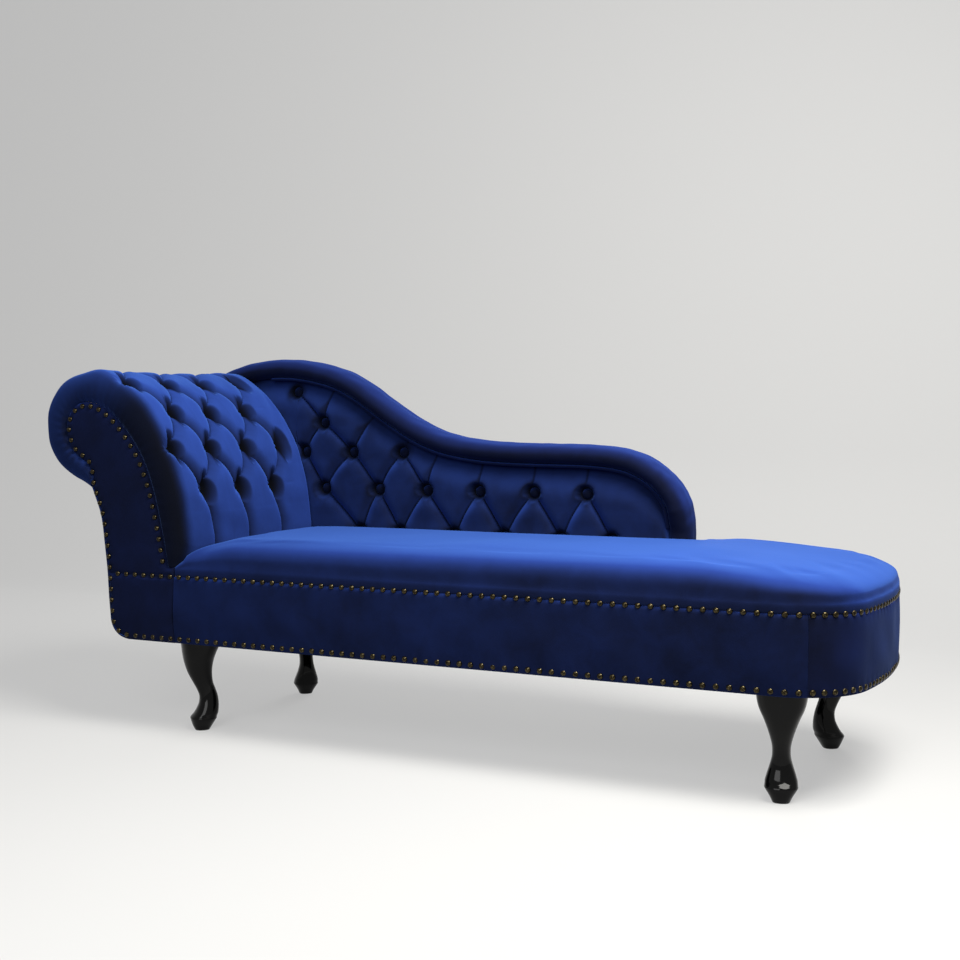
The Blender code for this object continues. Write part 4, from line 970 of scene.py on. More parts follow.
@dataclass
class HeadPad:
    """The deep-buttoned pad of the scrolled head: plump front border, diamonds and the end at the back."""

    row_first: float = 0.153
    row_pitch: float = 0.0895
    rows: int = 5
    column_first: float = FRONT + 0.032
    column_pitch: float = 0.120
    pad: float = 0.036
    pad_share: float = 0.6
    border: float = 0.030
    squareness: float = 3.2
    bulge: float = 0.005
    scroll_plump: float = 0.012
    rear_plump: float = 0.010
    facing_margin: float = 0.008
    panel_margin: float = 0.013
    panel: float = 0.018
    rear: float = BACK_FACE - 2 * GAP
    scroll_rear: float = 0.1857
    scroll_from: float = -0.620
    scroll_full: float = -0.660
    overhang: float = 0.007
    bow: Place = (0.003, 0.010)
    top_fold: float = 0.007
    step_along: float = 0.0026
    step_across: float = 0.0018
    edge_step: float = 0.008
    # How near the rear end a button stands, which buttons a fold joins, and the pleats to the pad's ends
    rear_margin: float = 0.015
    neighbour_share: float = 0.6
    even_rows: int = 2
    pleat_lean: float = 0.022
    pleat_bow: float = 0.008
    pleat_end: float = 0.044
    rear_rows: int = 3
    rear_run: Place = (0.004, 0.075)
    rear_depths: Place = (-0.006, -0.005)
    # The rolled front border, gathered under the nails and tucked in below its edge
    border_steps: int = 26
    border_relief: Place = (0.30, 0.95)
    taper: float = 0.009
    taper_length: float = 0.026
    tuck: float = 0.0042
    tuck_share: float = 0.16
    gather: float = 0.0011
    soft: float = 0.0007
    # Where the pad's height rises and falls: two places where it starts and ends, or four for both
    seat_rise: float = 0.070
    front_rise: Place = (FRONT - 0.010, FRONT + 0.022)
    rear_fall: Place = (0.172, 0.187)
    scroll_along: tuple = (0.48, 0.60, 0.73, 0.81)
    scroll_across: Place = (FRONT + 0.020, FRONT + 0.080)
    rear_along: tuple = (0.10, 0.28, 0.44, 0.56)
    rear_across: Place = (-0.06, 0.16)
    # Where painted shade darkens the border beside the nails, and from where across it darkens the hollows
    edge_narrows: Place = (0.33, 0.47)
    edge_across: Place = (0.004, 0.045)
    hollows_from: Place = (FRONT + 0.010, FRONT + 0.030)
    # Where the diamonds hang over towards the back
    hang_along: tuple = (0.0, 0.080, 0.66, 0.76)
    hang_rear: Place = (0.150, 0.180)
    rear_drop: float = 0.007
    button_aside: float = 0.002
    buttoning: DeepButtoning = BUTTONING

    def spokes(self, distance: Points) -> tuple[Points, Points, Points]:
        """Surface points, the way inwards from each and the way to the nails.

        Args:
            distance: distances along the surface.

        Returns:
            Places, unit vectors and lengths.
        """
        surface = HEAD_ROUTE.at(distance)
        marks = HEAD_ROUTE.marks
        nails = np.stack([np.interp(distance, marks, NAIL_CURVE[:, k]) for k in range(2)], axis=-1)
        run = nails - surface
        width = np.linalg.norm(run, axis=-1)
        return surface, run / width[..., None], width

    def edge(self, margin: float) -> Points:
        """Returns the line that runs a margin outside the nails of the facing."""
        surface, inward, width = self.spokes(HEAD_ROUTE.even(self.edge_step))
        return surface + inward * (width - margin)[:, None]

    def buttons(self) -> list[list[Place]]:
        """Returns the rows of buttons, as distances along the surface and across it."""
        rows = []
        for row in range(self.rows):
            along = self.row_first + row * self.row_pitch
            first = self.column_first + (0.0 if row % 2 else self.column_pitch / 2)
            count = int((self.scroll_rear - self.rear_margin - first) / self.column_pitch) + 1
            rows.append([(along, first + i * self.column_pitch) for i in range(count)])
        return rows

    def spots(self) -> list[Place]:
        """Returns the places of all buttons in one list."""
        return [place for row in self.buttons() for place in row]

    def rear_line(self, distance: Points) -> Points:
        """Returns y of the pad's rear end, which lies further forward on the scroll."""
        x = HEAD_ROUTE.at(distance)[:, 0]
        share = np.clip((self.scroll_from - x) / (self.scroll_from - self.scroll_full), 0, 1)
        return self.rear + (self.scroll_rear - self.rear) * share

    def folds(self) -> list[Fold]:
        """Returns the folds between the buttons and the pleats that run on from the outer ones."""
        rows = self.buttons()
        deep, fold, pleat = self.buttoning.depths()
        found = []
        for number, (low, high) in enumerate(zip(rows, rows[1:])):
            middle = fold if number < self.even_rows else self.top_fold
            for a in low:
                for b in high:
                    if abs(a[1] - b[1]) < self.column_pitch * self.neighbour_share:
                        lift = -self.bow[0] if b[1] > a[1] else self.bow[0]
                        found.append(Fold(a, b, deep, deep, middle, (lift, self.bow[1])))
        for place in rows[0]:
            foot = (0.0, place[1] + self.pleat_lean)
            found.append(Fold(place, foot, deep, pleat, pleat, (0.0, self.pleat_bow)))
        last = HEAD_ROUTE.length - self.pleat_end
        found += [Fold(place, (last, place[1]), deep, pleat, pleat) for place in rows[-1]]
        for along, across in (row[-1] for row in rows[: self.rear_rows]):
            end = (along + self.rear_run[0], across + self.rear_run[1])
            found.append(Fold((along, across), end, fold, *self.rear_depths))
        return found

    def build(self) -> None:
        """Builds the pad and its buttons."""
        distance = HEAD_ROUTE.even(self.step_along)
        surface, inward, width = self.spokes(distance)
        lip = width - self.facing_margin - GAP
        columns = [*self.front_border(distance, lip), *self.face(distance)]
        columns += self.inner_side(distance, width, lip)
        rings = []
        for across, depth, shift in columns:
            place, way, _ = self.spokes(distance + shift) if np.any(shift) else (surface, inward, width)
            spot = place + way * depth[:, None]
            rings.append(np.stack([spot[:, 0], np.broadcast_to(across, distance.shape), spot[:, 1]], axis=1))
        obj = loft("head_pad", np.stack(rings, axis=1))
        # Painted shade in the hollows, along the folds and beside the nails.
        store_painted_shade(obj, self.painted_shade(distance, np.stack([ring[:, 1] for ring in rings], axis=1)))
        # The lighter velvet copy, as painted light.
        dress(obj, PAINTED_LIGHTER_VELVET, ("head_cover",))
        self.place_buttons()

    def front_border(self, distance: Points, lip: Points) -> list:
        """The plump edge from the nails of the facing to the buttoned face.

        Args:
            distance: distances along the surface.
            lip: depth of the facing's edge at each.

        Returns:
            Columns as place across, depth and shift along.
        """
        columns = []
        gathers = np.cos(2 * math.pi * distance / NAIL_PITCH) + 0.5 * ripple(distance, distance, 0.030, 3)
        tapered = self.taper * (1 - ease(distance, 0.0, self.taper_length))
        for share in np.linspace(0.0, 1.0, self.border_steps)[:-1]:
            turn = share * math.pi / 2
            up = math.sin(turn) ** (2 / self.squareness)
            out = math.cos(turn) ** (2 / self.squareness)
            across = FRONT + self.border * (1 - out)
            relief = self.relief(distance, np.full_like(distance, across))
            relief = relief * float(ease(np.array(up), *self.border_relief))
            depth = lip * (1 - up) - relief
            swell = self.bulge * math.sin(math.pi * min(up * 1.05, 1.0)) ** 0.8
            tuck = self.tuck * (1 - ease(np.array(up), 0.0, self.tuck_share))
            gather = self.gather * gathers * math.exp(-up * 4.5) * min(up / 0.05, 1.0)
            aside = np.full_like(distance, share * self.border)
            soft = self.soft * ripple(distance, aside, 0.07, 5) * up
            columns.append((across - swell + tuck + gather + soft + tapered * up, depth, 0.0))
        return columns

    def relief(self, along: Points, across: Points) -> Points:
        """Height of the buttoned cover over the surface, low beside the border, the seat and the back.

        Args:
            along: distances along the surface.
            across: places across it.

        Returns:
            The height at each place.
        """
        style = self.buttoning
        height = style.height(along, across, self.folds(), self.spots())
        crease = style.crease_height * ripple(along, across, style.crease_length, 11)
        height += style.puckers(along, across, self.spots()) + crease
        crown = style.crown * ease(along, 0.0, self.seat_rise)
        crown = crown * ease(across, *self.front_rise) * (1 - 0.4 * ease(across, *self.rear_fall))
        return np.minimum(height, crown) + self.plump(along, across)

    def plump(self, along: Points, across: Points) -> Points:
        """Extra wadding at the left of the scroll and along the top towards the back.

        Args:
            along: distances along the surface.
            across: places across it.

        Returns:
            Its thickness at each place.
        """
        scroll = hill(along, *self.scroll_along) * (1 - ease(across, *self.scroll_across))
        rear = hill(along, *self.rear_along) * ease(across, *self.rear_across)
        return self.scroll_plump * scroll + self.rear_plump * rear

    def painted_shade(self, distance: Points, across: Points) -> Points:
        """Painted shade over the pad, in its hollows and folds and over the border beside the nails.

        Args:
            distance: distances along the surface.
            across: place across the surface of every point, by distance and column.

        Returns:
            A share from 0 to 1 for every point.
        """
        along = np.broadcast_to(distance[:, None], across.shape)
        share = self.buttoning.painted_shade(along, across, self.folds(), self.spots())
        # Painted shade over the rounded border beside the nails, narrower and fainter further along.
        narrow = ease(along, *self.edge_narrows)
        edge = 1 - ease(across - FRONT + 0.022 * narrow, *self.edge_across)
        edge = edge * (0.92 - 0.45 * narrow)
        return np.maximum(share * ease(across, *self.hollows_from), edge)

    def face(self, distance: Points) -> list:
        """The buttoned face from the border to the end at the back.

        Args:
            distance: distances along the surface.

        Returns:
            Columns as place across, depth and shift along.
        """
        start = FRONT + self.border
        across = np.arange(start, self.scroll_rear - 0.001, self.step_across)
        along, over = np.meshgrid(distance, across, indexing="ij")
        height = self.relief(along, over)
        lift = (height + self.buttoning.fold_depth) / (self.buttoning.fold_depth + self.buttoning.crown)
        hang = self.overhang * np.clip(lift, 0.0, 1.0) ** 1.5
        hang *= hill(along, *self.hang_along) * ease(over, start, start + self.border)
        hang *= 1 - ease(over, *self.hang_rear)
        columns = [(over[:, j] + hang[:, j], -height[:, j], 0.0) for j in range(len(across))]
        rear = self.rear_line(distance)
        for part in (0.25, 0.5, 0.75, 0.92, 1.0):
            drop = -height[:, -1] + (self.rear_drop + height[:, -1]) * part**2
            columns.append((across[-1] + (rear - across[-1]) * part, drop, 0.0))
        return columns

    def inner_side(self, distance: Points, width: Points, lip: Points) -> list:
        """The hidden side, stepped over the edge of the scroll panel.

        Args:
            distance: distances along the surface.
            width: length of the spoke at each.
            lip: depth of the facing's edge at each.

        Returns:
            Columns as place across, depth and shift along.
        """
        rear = self.rear_line(distance)
        pad = np.minimum(self.pad, self.pad_share * width)
        over_panel = width - self.panel_margin - GAP
        outer = FRONT + COVER
        inner = outer + 2 * GAP + self.panel
        corners = [(rear, pad), (inner, pad), (inner, over_panel), (outer, over_panel), (outer, lip)]
        return [(across, depth, 0.0) for across, depth in corners]

    def place_buttons(self) -> None:
        """Sets a covered button in each pit."""
        for i, (along, across) in enumerate(self.spots()):
            surface, inward, _ = self.spokes(np.array(along))
            plump = float(self.plump(np.array(along), np.array(across)))
            spot = surface + inward * (self.buttoning.pit_depth - plump)
            outward = np.array([-inward[0], 0.0, -inward[1]])
            place = across + self.buttoning.pit_shift + self.button_aside
            BUTTON.place(f"head_button_{i + 1}", np.array([spot[0], place, spot[1]]), outward)


@dataclass
class BackPad:
    """The tufted pad of the back, from behind the head to where the roll comes down to the seat."""

    rows: tuple = (
        (0.380, 0, (-0.364, -0.262, -0.127, -0.007, 0.124, 0.238)),
        (0.476, 0, (-0.462, -0.320, -0.198, -0.069, 0.060, 0.180)),
        (0.559, -1, (-0.515, -0.388, -0.258)),
        (0.626, 0, (-0.465,)),
        (0.697, -1, (-0.538,)),
    )
    foot_spread: float = 0.055
    top_drop: float = 0.024
    top_reach: float = 0.085
    blend: float = 0.0022
    behind_head: float = 0.040
    head_end: float = 0.460
    thickness: float = 0.0357
    step: float = 0.0025
    levels: int = 110
    # The pad's ends, the depth that its heights count from, and where it passes the head and the seat
    left: float = -0.688
    right: float = 0.3630
    datum: float = BACK_FACE + 0.006
    beside_head: float = -0.50
    roof_from: float = -0.60
    least_height: float = 0.004
    seat_dip: float = 0.008
    seat_heights: Place = (0.366, 0.392)
    bow: Place = (0.005, 0.0)
    buttoning: DeepButtoning = DeepButtoning(
        fold_depth=0.009, crown=0.0105, pit_depth=0.017, pit_radius=0.009, pit_width=0.020, pit_shift=0.0,
        pit_stretch=1.0, pit_left=1.0, painted_shade_from=0.010, painted_shade_to=0.034, line_reach=0.0045,
    )
    head: HeadPad = field(default_factory=HeadPad)

    def roof(self, x: Points) -> Points:
        """Returns the height of the roll's underside above each x."""
        line = ROLL_ROUTE.points + ROLL_ROUTE.right(ROLL_ROUTE.marks) * (ROLL_DROP + GAP)
        turn = int(np.argmax(ROLL_ROUTE.points[:, 0] > self.roof_from))
        return np.interp(x, line[turn - 60 :, 0], line[turn - 60 :, 1])

    def floor(self, x: Points) -> Points:
        """Returns the height of the pad's lower edge at each x."""
        distance = np.linspace(0.0, self.head_end, 120)
        surface, inward, _ = self.head.spokes(distance)
        line = surface + inward * self.behind_head
        rising = np.interp(-x, -line[:, 0], line[:, 1], left=HIDDEN_BOTTOM)
        return np.where(x > line[0, 0], HIDDEN_BOTTOM, np.maximum(rising, HIDDEN_BOTTOM))

    def buttons(self) -> dict[tuple[int, int], Place]:
        """Returns the buttons by row and column as x and height."""
        found = {}
        for row, (z, first, places) in enumerate(self.rows):
            found.update({(row, first + i): (x, z) for i, x in enumerate(places)})
        return found

    def folds(self) -> list[Fold]:
        """Returns the folds between buttons and the pleats that run up to the roll and down to the seat."""
        buttons = self.buttons()
        deep, fold, pleat = self.buttoning.depths()
        found = []
        for (row, column), (x, z) in buttons.items():
            shift = 1 if row % 2 == 0 else 0
            above = [buttons.get((row + 1, column - 1 + shift)), buttons.get((row + 1, column + shift))]
            for other in above:
                if other is not None:
                    found.append(Fold((z, x), (other[1], other[0]), deep, deep, fold, self.bow))
            if None in above and row > 0 and x > self.beside_head:
                under = ROLL_ROUTE.points + ROLL_ROUTE.right(ROLL_ROUTE.marks) * ROLL_DROP
                under = under[under[:, 1] > z + 0.02]
                top = under[np.argmin(np.hypot(under[:, 0] - x, under[:, 1] - z))]
                found.append(Fold((z, x), (top[1], top[0]), deep, pleat, pleat))
            if row == 0:
                for side in (-1, 1):
                    foot = (z - self.foot_spread, x + side * self.foot_spread)
                    found.append(Fold((z, x), foot, deep, pleat, fold, self.bow))
        return found

    def build(self) -> None:
        """Builds the pad and its buttons."""
        x = np.linspace(self.left, self.right, round((self.right - self.left) / self.step) + 1)
        low = self.floor(x)
        high = np.maximum(self.roof(x), low + self.least_height)
        share = np.linspace(0.0, 1.0, self.levels)
        up = low[:, None] + (high - low)[:, None] * share[None, :]
        over = np.broadcast_to(x[:, None], up.shape)
        places = [(z, bx) for bx, z in self.buttons().values()]
        height = self.buttoning.height(up, over, self.folds(), places)
        height += self.buttoning.puckers(up, over, places)
        height += self.buttoning.crease_height * ripple(up, over, self.buttoning.crease_length, 17)
        below_roof = high[:, None] - up
        cap = self.buttoning.crown - self.top_drop * (1 - ease(below_roof, 0.0, self.top_reach))
        cap = cap - self.seat_dip * (1 - ease(up, *self.seat_heights)) * (over > self.beside_head)
        height = -self.blend * np.logaddexp(-height / self.blend, -cap / self.blend)
        front = np.stack([over, self.datum - height, up], axis=-1)
        obj = slab("back_pad", front, BACK_FACE + self.thickness)
        # Painted shade in the hollows and along the folds.
        share = self.buttoning.painted_shade(up, over, self.folds(), places)
        store_painted_shade(obj, np.concatenate([share.ravel(), np.zeros(len(obj.data.vertices) - share.size)]))
        # The lighter velvet copy, as painted light.
        dress(obj, PAINTED_LIGHTER_VELVET, ("back_cover",))
        for i, (bx, z) in enumerate(self.buttons().values()):
            spot = np.array([bx, self.datum + self.buttoning.pit_depth, z])
            BUTTON.place(f"back_button_{i + 1}", spot, np.array([0.0, -1.0, 0.0]))


def slab(name: str, front: Points, rear_y: float) -> bpy.types.Object:
    """Makes a closed pad from a grid of its face and a flat back.

    Args:
        name: the piece's name.
        front: an array of columns by rows by three.
        rear_y: the y of the flat back.

    Returns:
        The linked object.
    """
    columns, rows = front.shape[:2]
    index = np.arange(columns * rows).reshape(columns, rows)
    quads = np.stack([index[:-1, :-1], index[1:, :-1], index[1:, 1:], index[:-1, 1:]], axis=-1).reshape(-1, 4)
    rim = np.concatenate([index[:-1, 0], index[-1, :-1], index[:0:-1, -1], index[0, :0:-1]])
    points = front.reshape(-1, 3)
    rear = points[rim].copy()
    rear[:, 1] = rear_y
    start = len(points)
    behind = np.arange(start, start + len(rim))
    sides = np.stack([rim, behind, np.roll(behind, -1), np.roll(rim, -1)], axis=-1)
    faces = quads.tolist() + sides.tolist() + [behind.tolist()]
    return mesh_object(name, np.vstack([points, rear]), faces)


@dataclass
class BackRoll:
    """The padded roll along the top of the back, and the welt below its front."""

    nose: float = BACK_FACE + 0.0142 - 0.0275
    hinge: float = BACK_FACE + 0.0142
    slims_from: float = 0.450
    slim_at: float = 0.402
    slim_share: float = 0.5
    step: float = 0.004
    around: int = 5
    # Uneven wadding, and creases that start and are full at these distances from the foot end
    wave: float = 0.0004
    crease: float = 0.0003
    creased_from: Place = (0.45, 0.15)
    welt_out: float = 0.016
    welt_top: float = 0.70
    welt_radius: float = 0.0032
    welt_from: float = -0.600
    welt_to: float = 0.410

    def section(self) -> Points:
        """Returns the outline of the roll as y and depth below its top line."""
        nose = self.nose
        round_part = spline([
            (nose + 0.019, ROLL_DROP), (nose + 0.0035, 0.0345), (nose - 0.001, 0.020),
            (nose + 0.0085, 0.0055), (nose + 0.032, -0.0012), (nose + 0.048, -0.0016),
            (REAR - 0.022, -0.0008), (REAR - 0.005, 0.0075), (REAR, 0.022), (REAR, ROLL_DROP),
        ], self.around)
        return np.vstack([(BACK_FRAME_FACE, ROLL_DROP), round_part])

    def ring(self, distance: Points, section: Points) -> Points:
        """Sections of the roll at distances along it.

        Args:
            distance: distances along the top line.
            section: the outline as y and depth.

        Returns:
            An array of sections by points by three.
        """
        place, inward = ROLL_ROUTE.at(distance), ROLL_ROUTE.right(distance)
        rise = np.clip((place[:, 1] - self.slim_at) / (self.slims_from - self.slim_at), 0.0, 1.0)
        keep = np.where(place[:, 0] > 0.0, self.slim_share + (1 - self.slim_share) * rise, 1.0)[:, None]
        across = np.broadcast_to(section[:, 0], (len(distance), len(section)))
        across = np.where(across < self.hinge, self.hinge - (self.hinge - across) * keep, across)
        depth = np.broadcast_to(section[:, 1], across.shape).copy()
        loose = (depth < ROLL_DROP - 0.002) & (across < REAR - 0.001)
        along = np.broadcast_to(distance[:, None], across.shape)
        wave = ripple(along, across, 0.045, 23)
        first, full = self.creased_from
        foot = ease(distance, ROLL_ROUTE.length - first, ROLL_ROUTE.length - full)[:, None]
        crease = ripple(along, across * 0.5, 0.020, 29) * foot
        depth += np.where(loose, self.wave * wave + self.crease * crease, 0.0)
        spot = place[:, None, :] + inward[:, None, :] * depth[..., None]
        return np.stack([spot[..., 0], across, spot[..., 1]], axis=-1)

    def build(self) -> None:
        """Builds the roll and its welt."""
        distance = ROLL_ROUTE.even(self.step)
        obj = loft("back_roll", self.ring(distance, self.section()))
        # The darker velvet copy, as painted shade.
        dress(obj, PAINTED_DARKER_VELVET, ("back_roll_cover",))
        below = np.array([[self.nose + self.welt_out, ROLL_DROP + self.welt_radius + GAP]])
        line = self.ring(distance, below)[:, 0]
        line = line[(line[:, 0] > self.welt_from) & (line[:, 2] > self.welt_to)]
        line = line[int(np.argmax(line[:, 2] > self.welt_top)) :]
        welt = tube("back_welt_cord", line, self.welt_radius)
        dress(welt, VELVET, ("back_welt",))


def tube(name: str, line: Points, radius: float, sides: int = 12) -> bpy.types.Object:
    """Makes a round cord along a line that lies nearly in one x-z plane.

    Args:
        name: the piece's name.
        line: the points of its centre.
        radius: its radius.
        sides: how many sides it has.

    Returns:
        The linked object.
    """
    run = np.gradient(line, axis=0)
    run /= np.linalg.norm(run, axis=1, keepdims=True)
    up = np.cross(run, [0.0, 1.0, 0.0])
    up /= np.linalg.norm(up, axis=1, keepdims=True)
    across = np.cross(run, up)
    turn = np.linspace(0, 2 * math.pi, sides, endpoint=False)
    ways = up[:, None] * np.cos(turn)[:, None] + across[:, None] * np.sin(turn)[:, None]
    return loft(name, line[:, None] + radius * ways)


@dataclass
class Seat:
    """The long seat cushion, crowned and rounded over its open edges and tucked in beside head and back."""

    head_x: float = -0.4877
    notch_x: float = 0.4056
    edge_z: float = 0.333
    push_z: float = 0.3366
    reach: float = 0.105
    rise: float = 0.060
    fullness: float = 3.3
    foot_slope: float = 0.018
    corner_out: float = 0.0215
    corner_dip: float = 0.014
    tucked_reach: float = 0.100
    levels: int = 15
    pressure: float = 2.5
    frames: int = 20
    cap: float = 0.0032
    grid: float = 0.011
    bottom_grid: float = 0.05
    turn_from: float = 0.03
    turn_by: float = 1.29
    unevenness: float = 0.0012
    # How far the front corner at the head is drawn in and dips, and how the top slopes to the foot
    corner_along: Place = (0.004, 0.060)
    corner_across: Place = (0.004, 0.030)
    dip_reach: Place = (0.11, 0.17)
    dip_heights: Place = (0.335, 0.380)
    slope_from: Place = (0.50, 0.80)
    slope_heights: Place = (0.335, 0.390)
    # Levels that the cloth simulation holds, all round and on the tucked sides
    sewn_levels: int = 5
    tucked_levels: int = 9

    def plan(self, inset: float, tucked: float) -> tuple[Points, Points]:
        """Outline of the seat in plan.

        Args:
            inset: how far the open sides are moved inwards.
            tucked: how far the hidden sides are moved inwards.

        Returns:
            The outline, and for each point whether it is on a hidden side.
        """
        head_x, notch_x, back_y = self.head_x + tucked, self.notch_x + tucked, BACK_FACE - 2 * GAP - tucked
        centre_x = corner_centre()[0]
        front_x = np.linspace(head_x, centre_x, 101)[:-1]
        rear_x = np.linspace(centre_x, notch_x, 26)[1:]
        back_x = np.linspace(notch_x, head_x, 76)
        notch_y = np.linspace(REAR - inset, back_y, 8)[1:-1]
        head_y = np.linspace(back_y, FRONT + inset, 38)[1:-1]
        parts = [
            (np.stack([front_x, np.full_like(front_x, FRONT + inset)], axis=1), False),
            (foot_curve(inset, corner_steps=18, bow_steps=26), False),
            (np.stack([rear_x, np.full_like(rear_x, REAR - inset)], axis=1), False),
            (np.stack([np.full_like(notch_y, notch_x), notch_y], axis=1), True),
            (np.stack([back_x, np.full_like(back_x, back_y)], axis=1), True),
            (np.stack([np.full_like(head_y, head_x), head_y], axis=1), True),
        ]
        hidden = np.concatenate([np.full(len(points), tuck) for points, tuck in parts])
        return np.vstack([points for points, _ in parts]), hidden

    def rings(self) -> list[Points]:
        """Returns the levels of the cushion from its seam to the start of its flat top."""
        levels = []
        _, hidden = self.plan(0.0, 0.0)
        tuck = HIDDEN_BOTTOM - SEAM_Z - GAP
        for inset, rise in (
            (0.0034, 0.0), (0.0010, 0.0003), (0.0001, 0.0018), (0.0, 0.0060), (0.0, self.edge_z - SEAM_Z),
            (0.0, self.push_z - SEAM_Z - GAP),
        ):
            outline, _ = self.plan(inset, inset)
            height = SEAM_Z + GAP + rise + np.where(hidden, tuck, 0.0)
            start, end = self.corner_along
            corner = 1 - ease(outline[:, 0], self.head_x + start, self.head_x + end)
            start, end = self.corner_across
            corner = corner * (1 - ease(outline[:, 1], FRONT + start, FRONT + end)) * ~hidden
            outline[:, 0] -= self.corner_out * corner
            levels.append(np.column_stack([outline, height]))
        for share in np.linspace(0.0, 1.0, self.levels + 1)[1:]:
            turn = self.turn_from + share * self.turn_by
            inset = self.reach * (1 - math.cos(turn) ** (2 / self.fullness))
            rise = self.rise * math.sin(turn) ** (2 / self.fullness)
            outline, _ = self.plan(inset, self.tucked_reach * (1 - math.cos(turn)))
            height = self.edge_z + rise + np.where(hidden, tuck, 0.0) * (1 - share)
            levels.append(np.column_stack([outline, height]))
        return levels

    def slope(self, x: Points) -> Points:
        """Returns how far the top has dropped towards the foot end at each x."""
        return self.foot_slope * ease(x, *self.slope_from)

    def build(self) -> None:
        """Builds the cushion, swells it as cloth over wadding and smooths it."""
        levels = self.rings()
        around = len(levels[0])
        index = np.arange(len(levels) * around).reshape(len(levels), around)
        points = [np.vstack(levels)]
        faces = between(index).tolist()
        top = levels[-1]
        places, cells = filled(top[:, :2], self.grid)
        start = len(points[0])
        number = np.concatenate([index[-1], np.arange(start, start + len(places) - around)])
        lift = self.unevenness * ripple(places[around:, 0], places[around:, 1], 0.24, 41)
        points.append(np.column_stack([places[around:], top[0, 2] + lift]))
        faces += [number[cell].tolist() for cell in cells]
        bottom, bottom_cells = filled(levels[0][:, :2], self.bottom_grid)
        start = len(points[0]) + len(points[1])
        number = np.concatenate([index[0], np.arange(start, start + len(bottom) - around)])
        points.append(np.column_stack([bottom[around:], np.full(len(bottom) - around, HIDDEN_BOTTOM)]))
        faces += [number[cell].tolist() for cell in bottom_cells]
        everything = np.vstack(points)
        dip = 1 - ease(everything[:, 0], self.head_x, self.head_x + self.dip_reach[0])
        dip = dip * (1 - ease(everything[:, 1], FRONT, FRONT + self.dip_reach[1]))
        everything[:, 2] -= self.corner_dip * dip * ease(everything[:, 2], *self.dip_heights)
        everything[:, 2] -= self.slope(everything[:, 0]) * ease(everything[:, 2], *self.slope_heights)
        obj = mesh_object("seat_cushion", everything, faces, 180.0)
        _, hidden = self.plan(0.0, 0.0)
        held = np.zeros(len(everything), bool)
        held[index[: self.sewn_levels].ravel()] = True
        held[index[: self.tucked_levels, hidden].ravel()] = True
        held[len(points[0]) + len(points[1]) :] = True
        swell(obj, held, self.pressure, self.frames, self.cap)
        smooth = obj.modifiers.new("smooth", "SUBSURF")
        smooth.levels = smooth.render_levels = 1
        dress(obj, VELVET, ("seat_cover",))


def filled(outline: Points, step: float) -> tuple[Points, list]:
    """Fills an outline with an even net of points and triangles.

    Args:
        outline: the points of the outline in order.
        step: distance between the points inside.

    Returns:
        The points, outline first, and the vertex numbers of each triangle.
    """
    low, high = outline.min(axis=0), outline.max(axis=0)
    u, v = np.meshgrid(np.arange(low[0], high[0], step), np.arange(low[1], high[1], step * 0.87))
    u[1::2] += step / 2
    inner = np.column_stack([u.ravel(), v.ravel()])
    inner = inner[enclosed(inner, outline) & (edge_distance(inner, outline) > step * 0.45)]
    count = len(outline)
    edges = [(i, (i + 1) % count) for i in range(count)]
    places = [Vector(point) for point in np.vstack([outline, inner])]
    points, _, faces, origins, _, _ = delaunay_2d_cdt(places, edges, [list(range(count))], 1, 1e-7)
    number = {i: origin[0] for i, origin in enumerate(origins)}
    return np.vstack([outline, inner]), [np.array([number[i] for i in face]) for face in faces]


def enclosed(points: Points, outline: Points) -> Points:
    """Returns True for each point inside the outline."""
    hit = np.zeros(len(points), bool)
    for start, end in zip(outline, np.roll(outline, -1, axis=0)):
        crosses = (start[1] > points[:, 1]) != (end[1] > points[:, 1])
        with np.errstate(divide="ignore", invalid="ignore"):
            at = start[0] + (points[:, 1] - start[1]) / (end[1] - start[1]) * (end[0] - start[0])
        hit ^= crosses & (at > points[:, 0])
    return hit


def edge_distance(points: Points, outline: Points) -> Points:
    """Returns each point's distance from the outline."""
    nearest = np.full(len(points), np.inf)
    for start, end in zip(outline, np.roll(outline, -1, axis=0)):
        run = end - start
        share = np.clip(((points - start) @ run) / max(run @ run, 1e-12), 0.0, 1.0)
        nearest = np.minimum(nearest, np.linalg.norm(points - start - share[:, None] * run, axis=1))
    return nearest


def swell(obj: bpy.types.Object, held: Points, pressure: float, frames: int, cap: float) -> None:
    """Swells a closed cover by simulating it as cloth, and keeps the result in its mesh.

    Args:
        obj: the cover.
        held: for each vertex, whether it is sewn or tucked and stays where it is.
        pressure: how hard the wadding pushes.
        frames: how many frames the cloth takes.
        cap: the furthest that a point may move.
    """
    scene = bpy.context.scene
    before = np.array([vertex.co for vertex in obj.data.vertices])
    group = obj.vertex_groups.new(name="held")
    group.add(np.flatnonzero(held).tolist(), 1.0, "REPLACE")
    cloth = obj.modifiers.new("swell", "CLOTH")
    cloth.settings.quality = 6
    cloth.settings.mass = 0.4
    cloth.settings.tension_stiffness = 12.0
    cloth.settings.compression_stiffness = 12.0
    cloth.settings.bending_stiffness = 0.8
    cloth.settings.use_pressure = True
    cloth.settings.uniform_pressure_force = pressure
    cloth.settings.vertex_group_mass = group.name
    cloth.settings.effector_weights.gravity = 0.0
    cloth.collision_settings.use_collision = False
    cloth.point_cache.frame_start = 1
    cloth.point_cache.frame_end = frames
    for number in range(1, frames + 1):
        scene.frame_set(number)
    evaluated = obj.evaluated_get(bpy.context.evaluated_depsgraph_get())
    after = np.array([vertex.co for vertex in evaluated.data.vertices])
    obj.modifiers.remove(cloth)
    scene.frame_set(1)
    moved = after - before
    reach = np.linalg.norm(moved, axis=1, keepdims=True)
    kept = before + moved * (cap * np.tanh(reach / cap) / np.maximum(reach, 1e-9))
    obj.data.vertices.foreach_set("co", kept.astype(np.float32).ravel())
    obj.data.update()
    log.info("%s: swelled by up to %.1f mm", obj.name, 1000 * float(reach.max()))


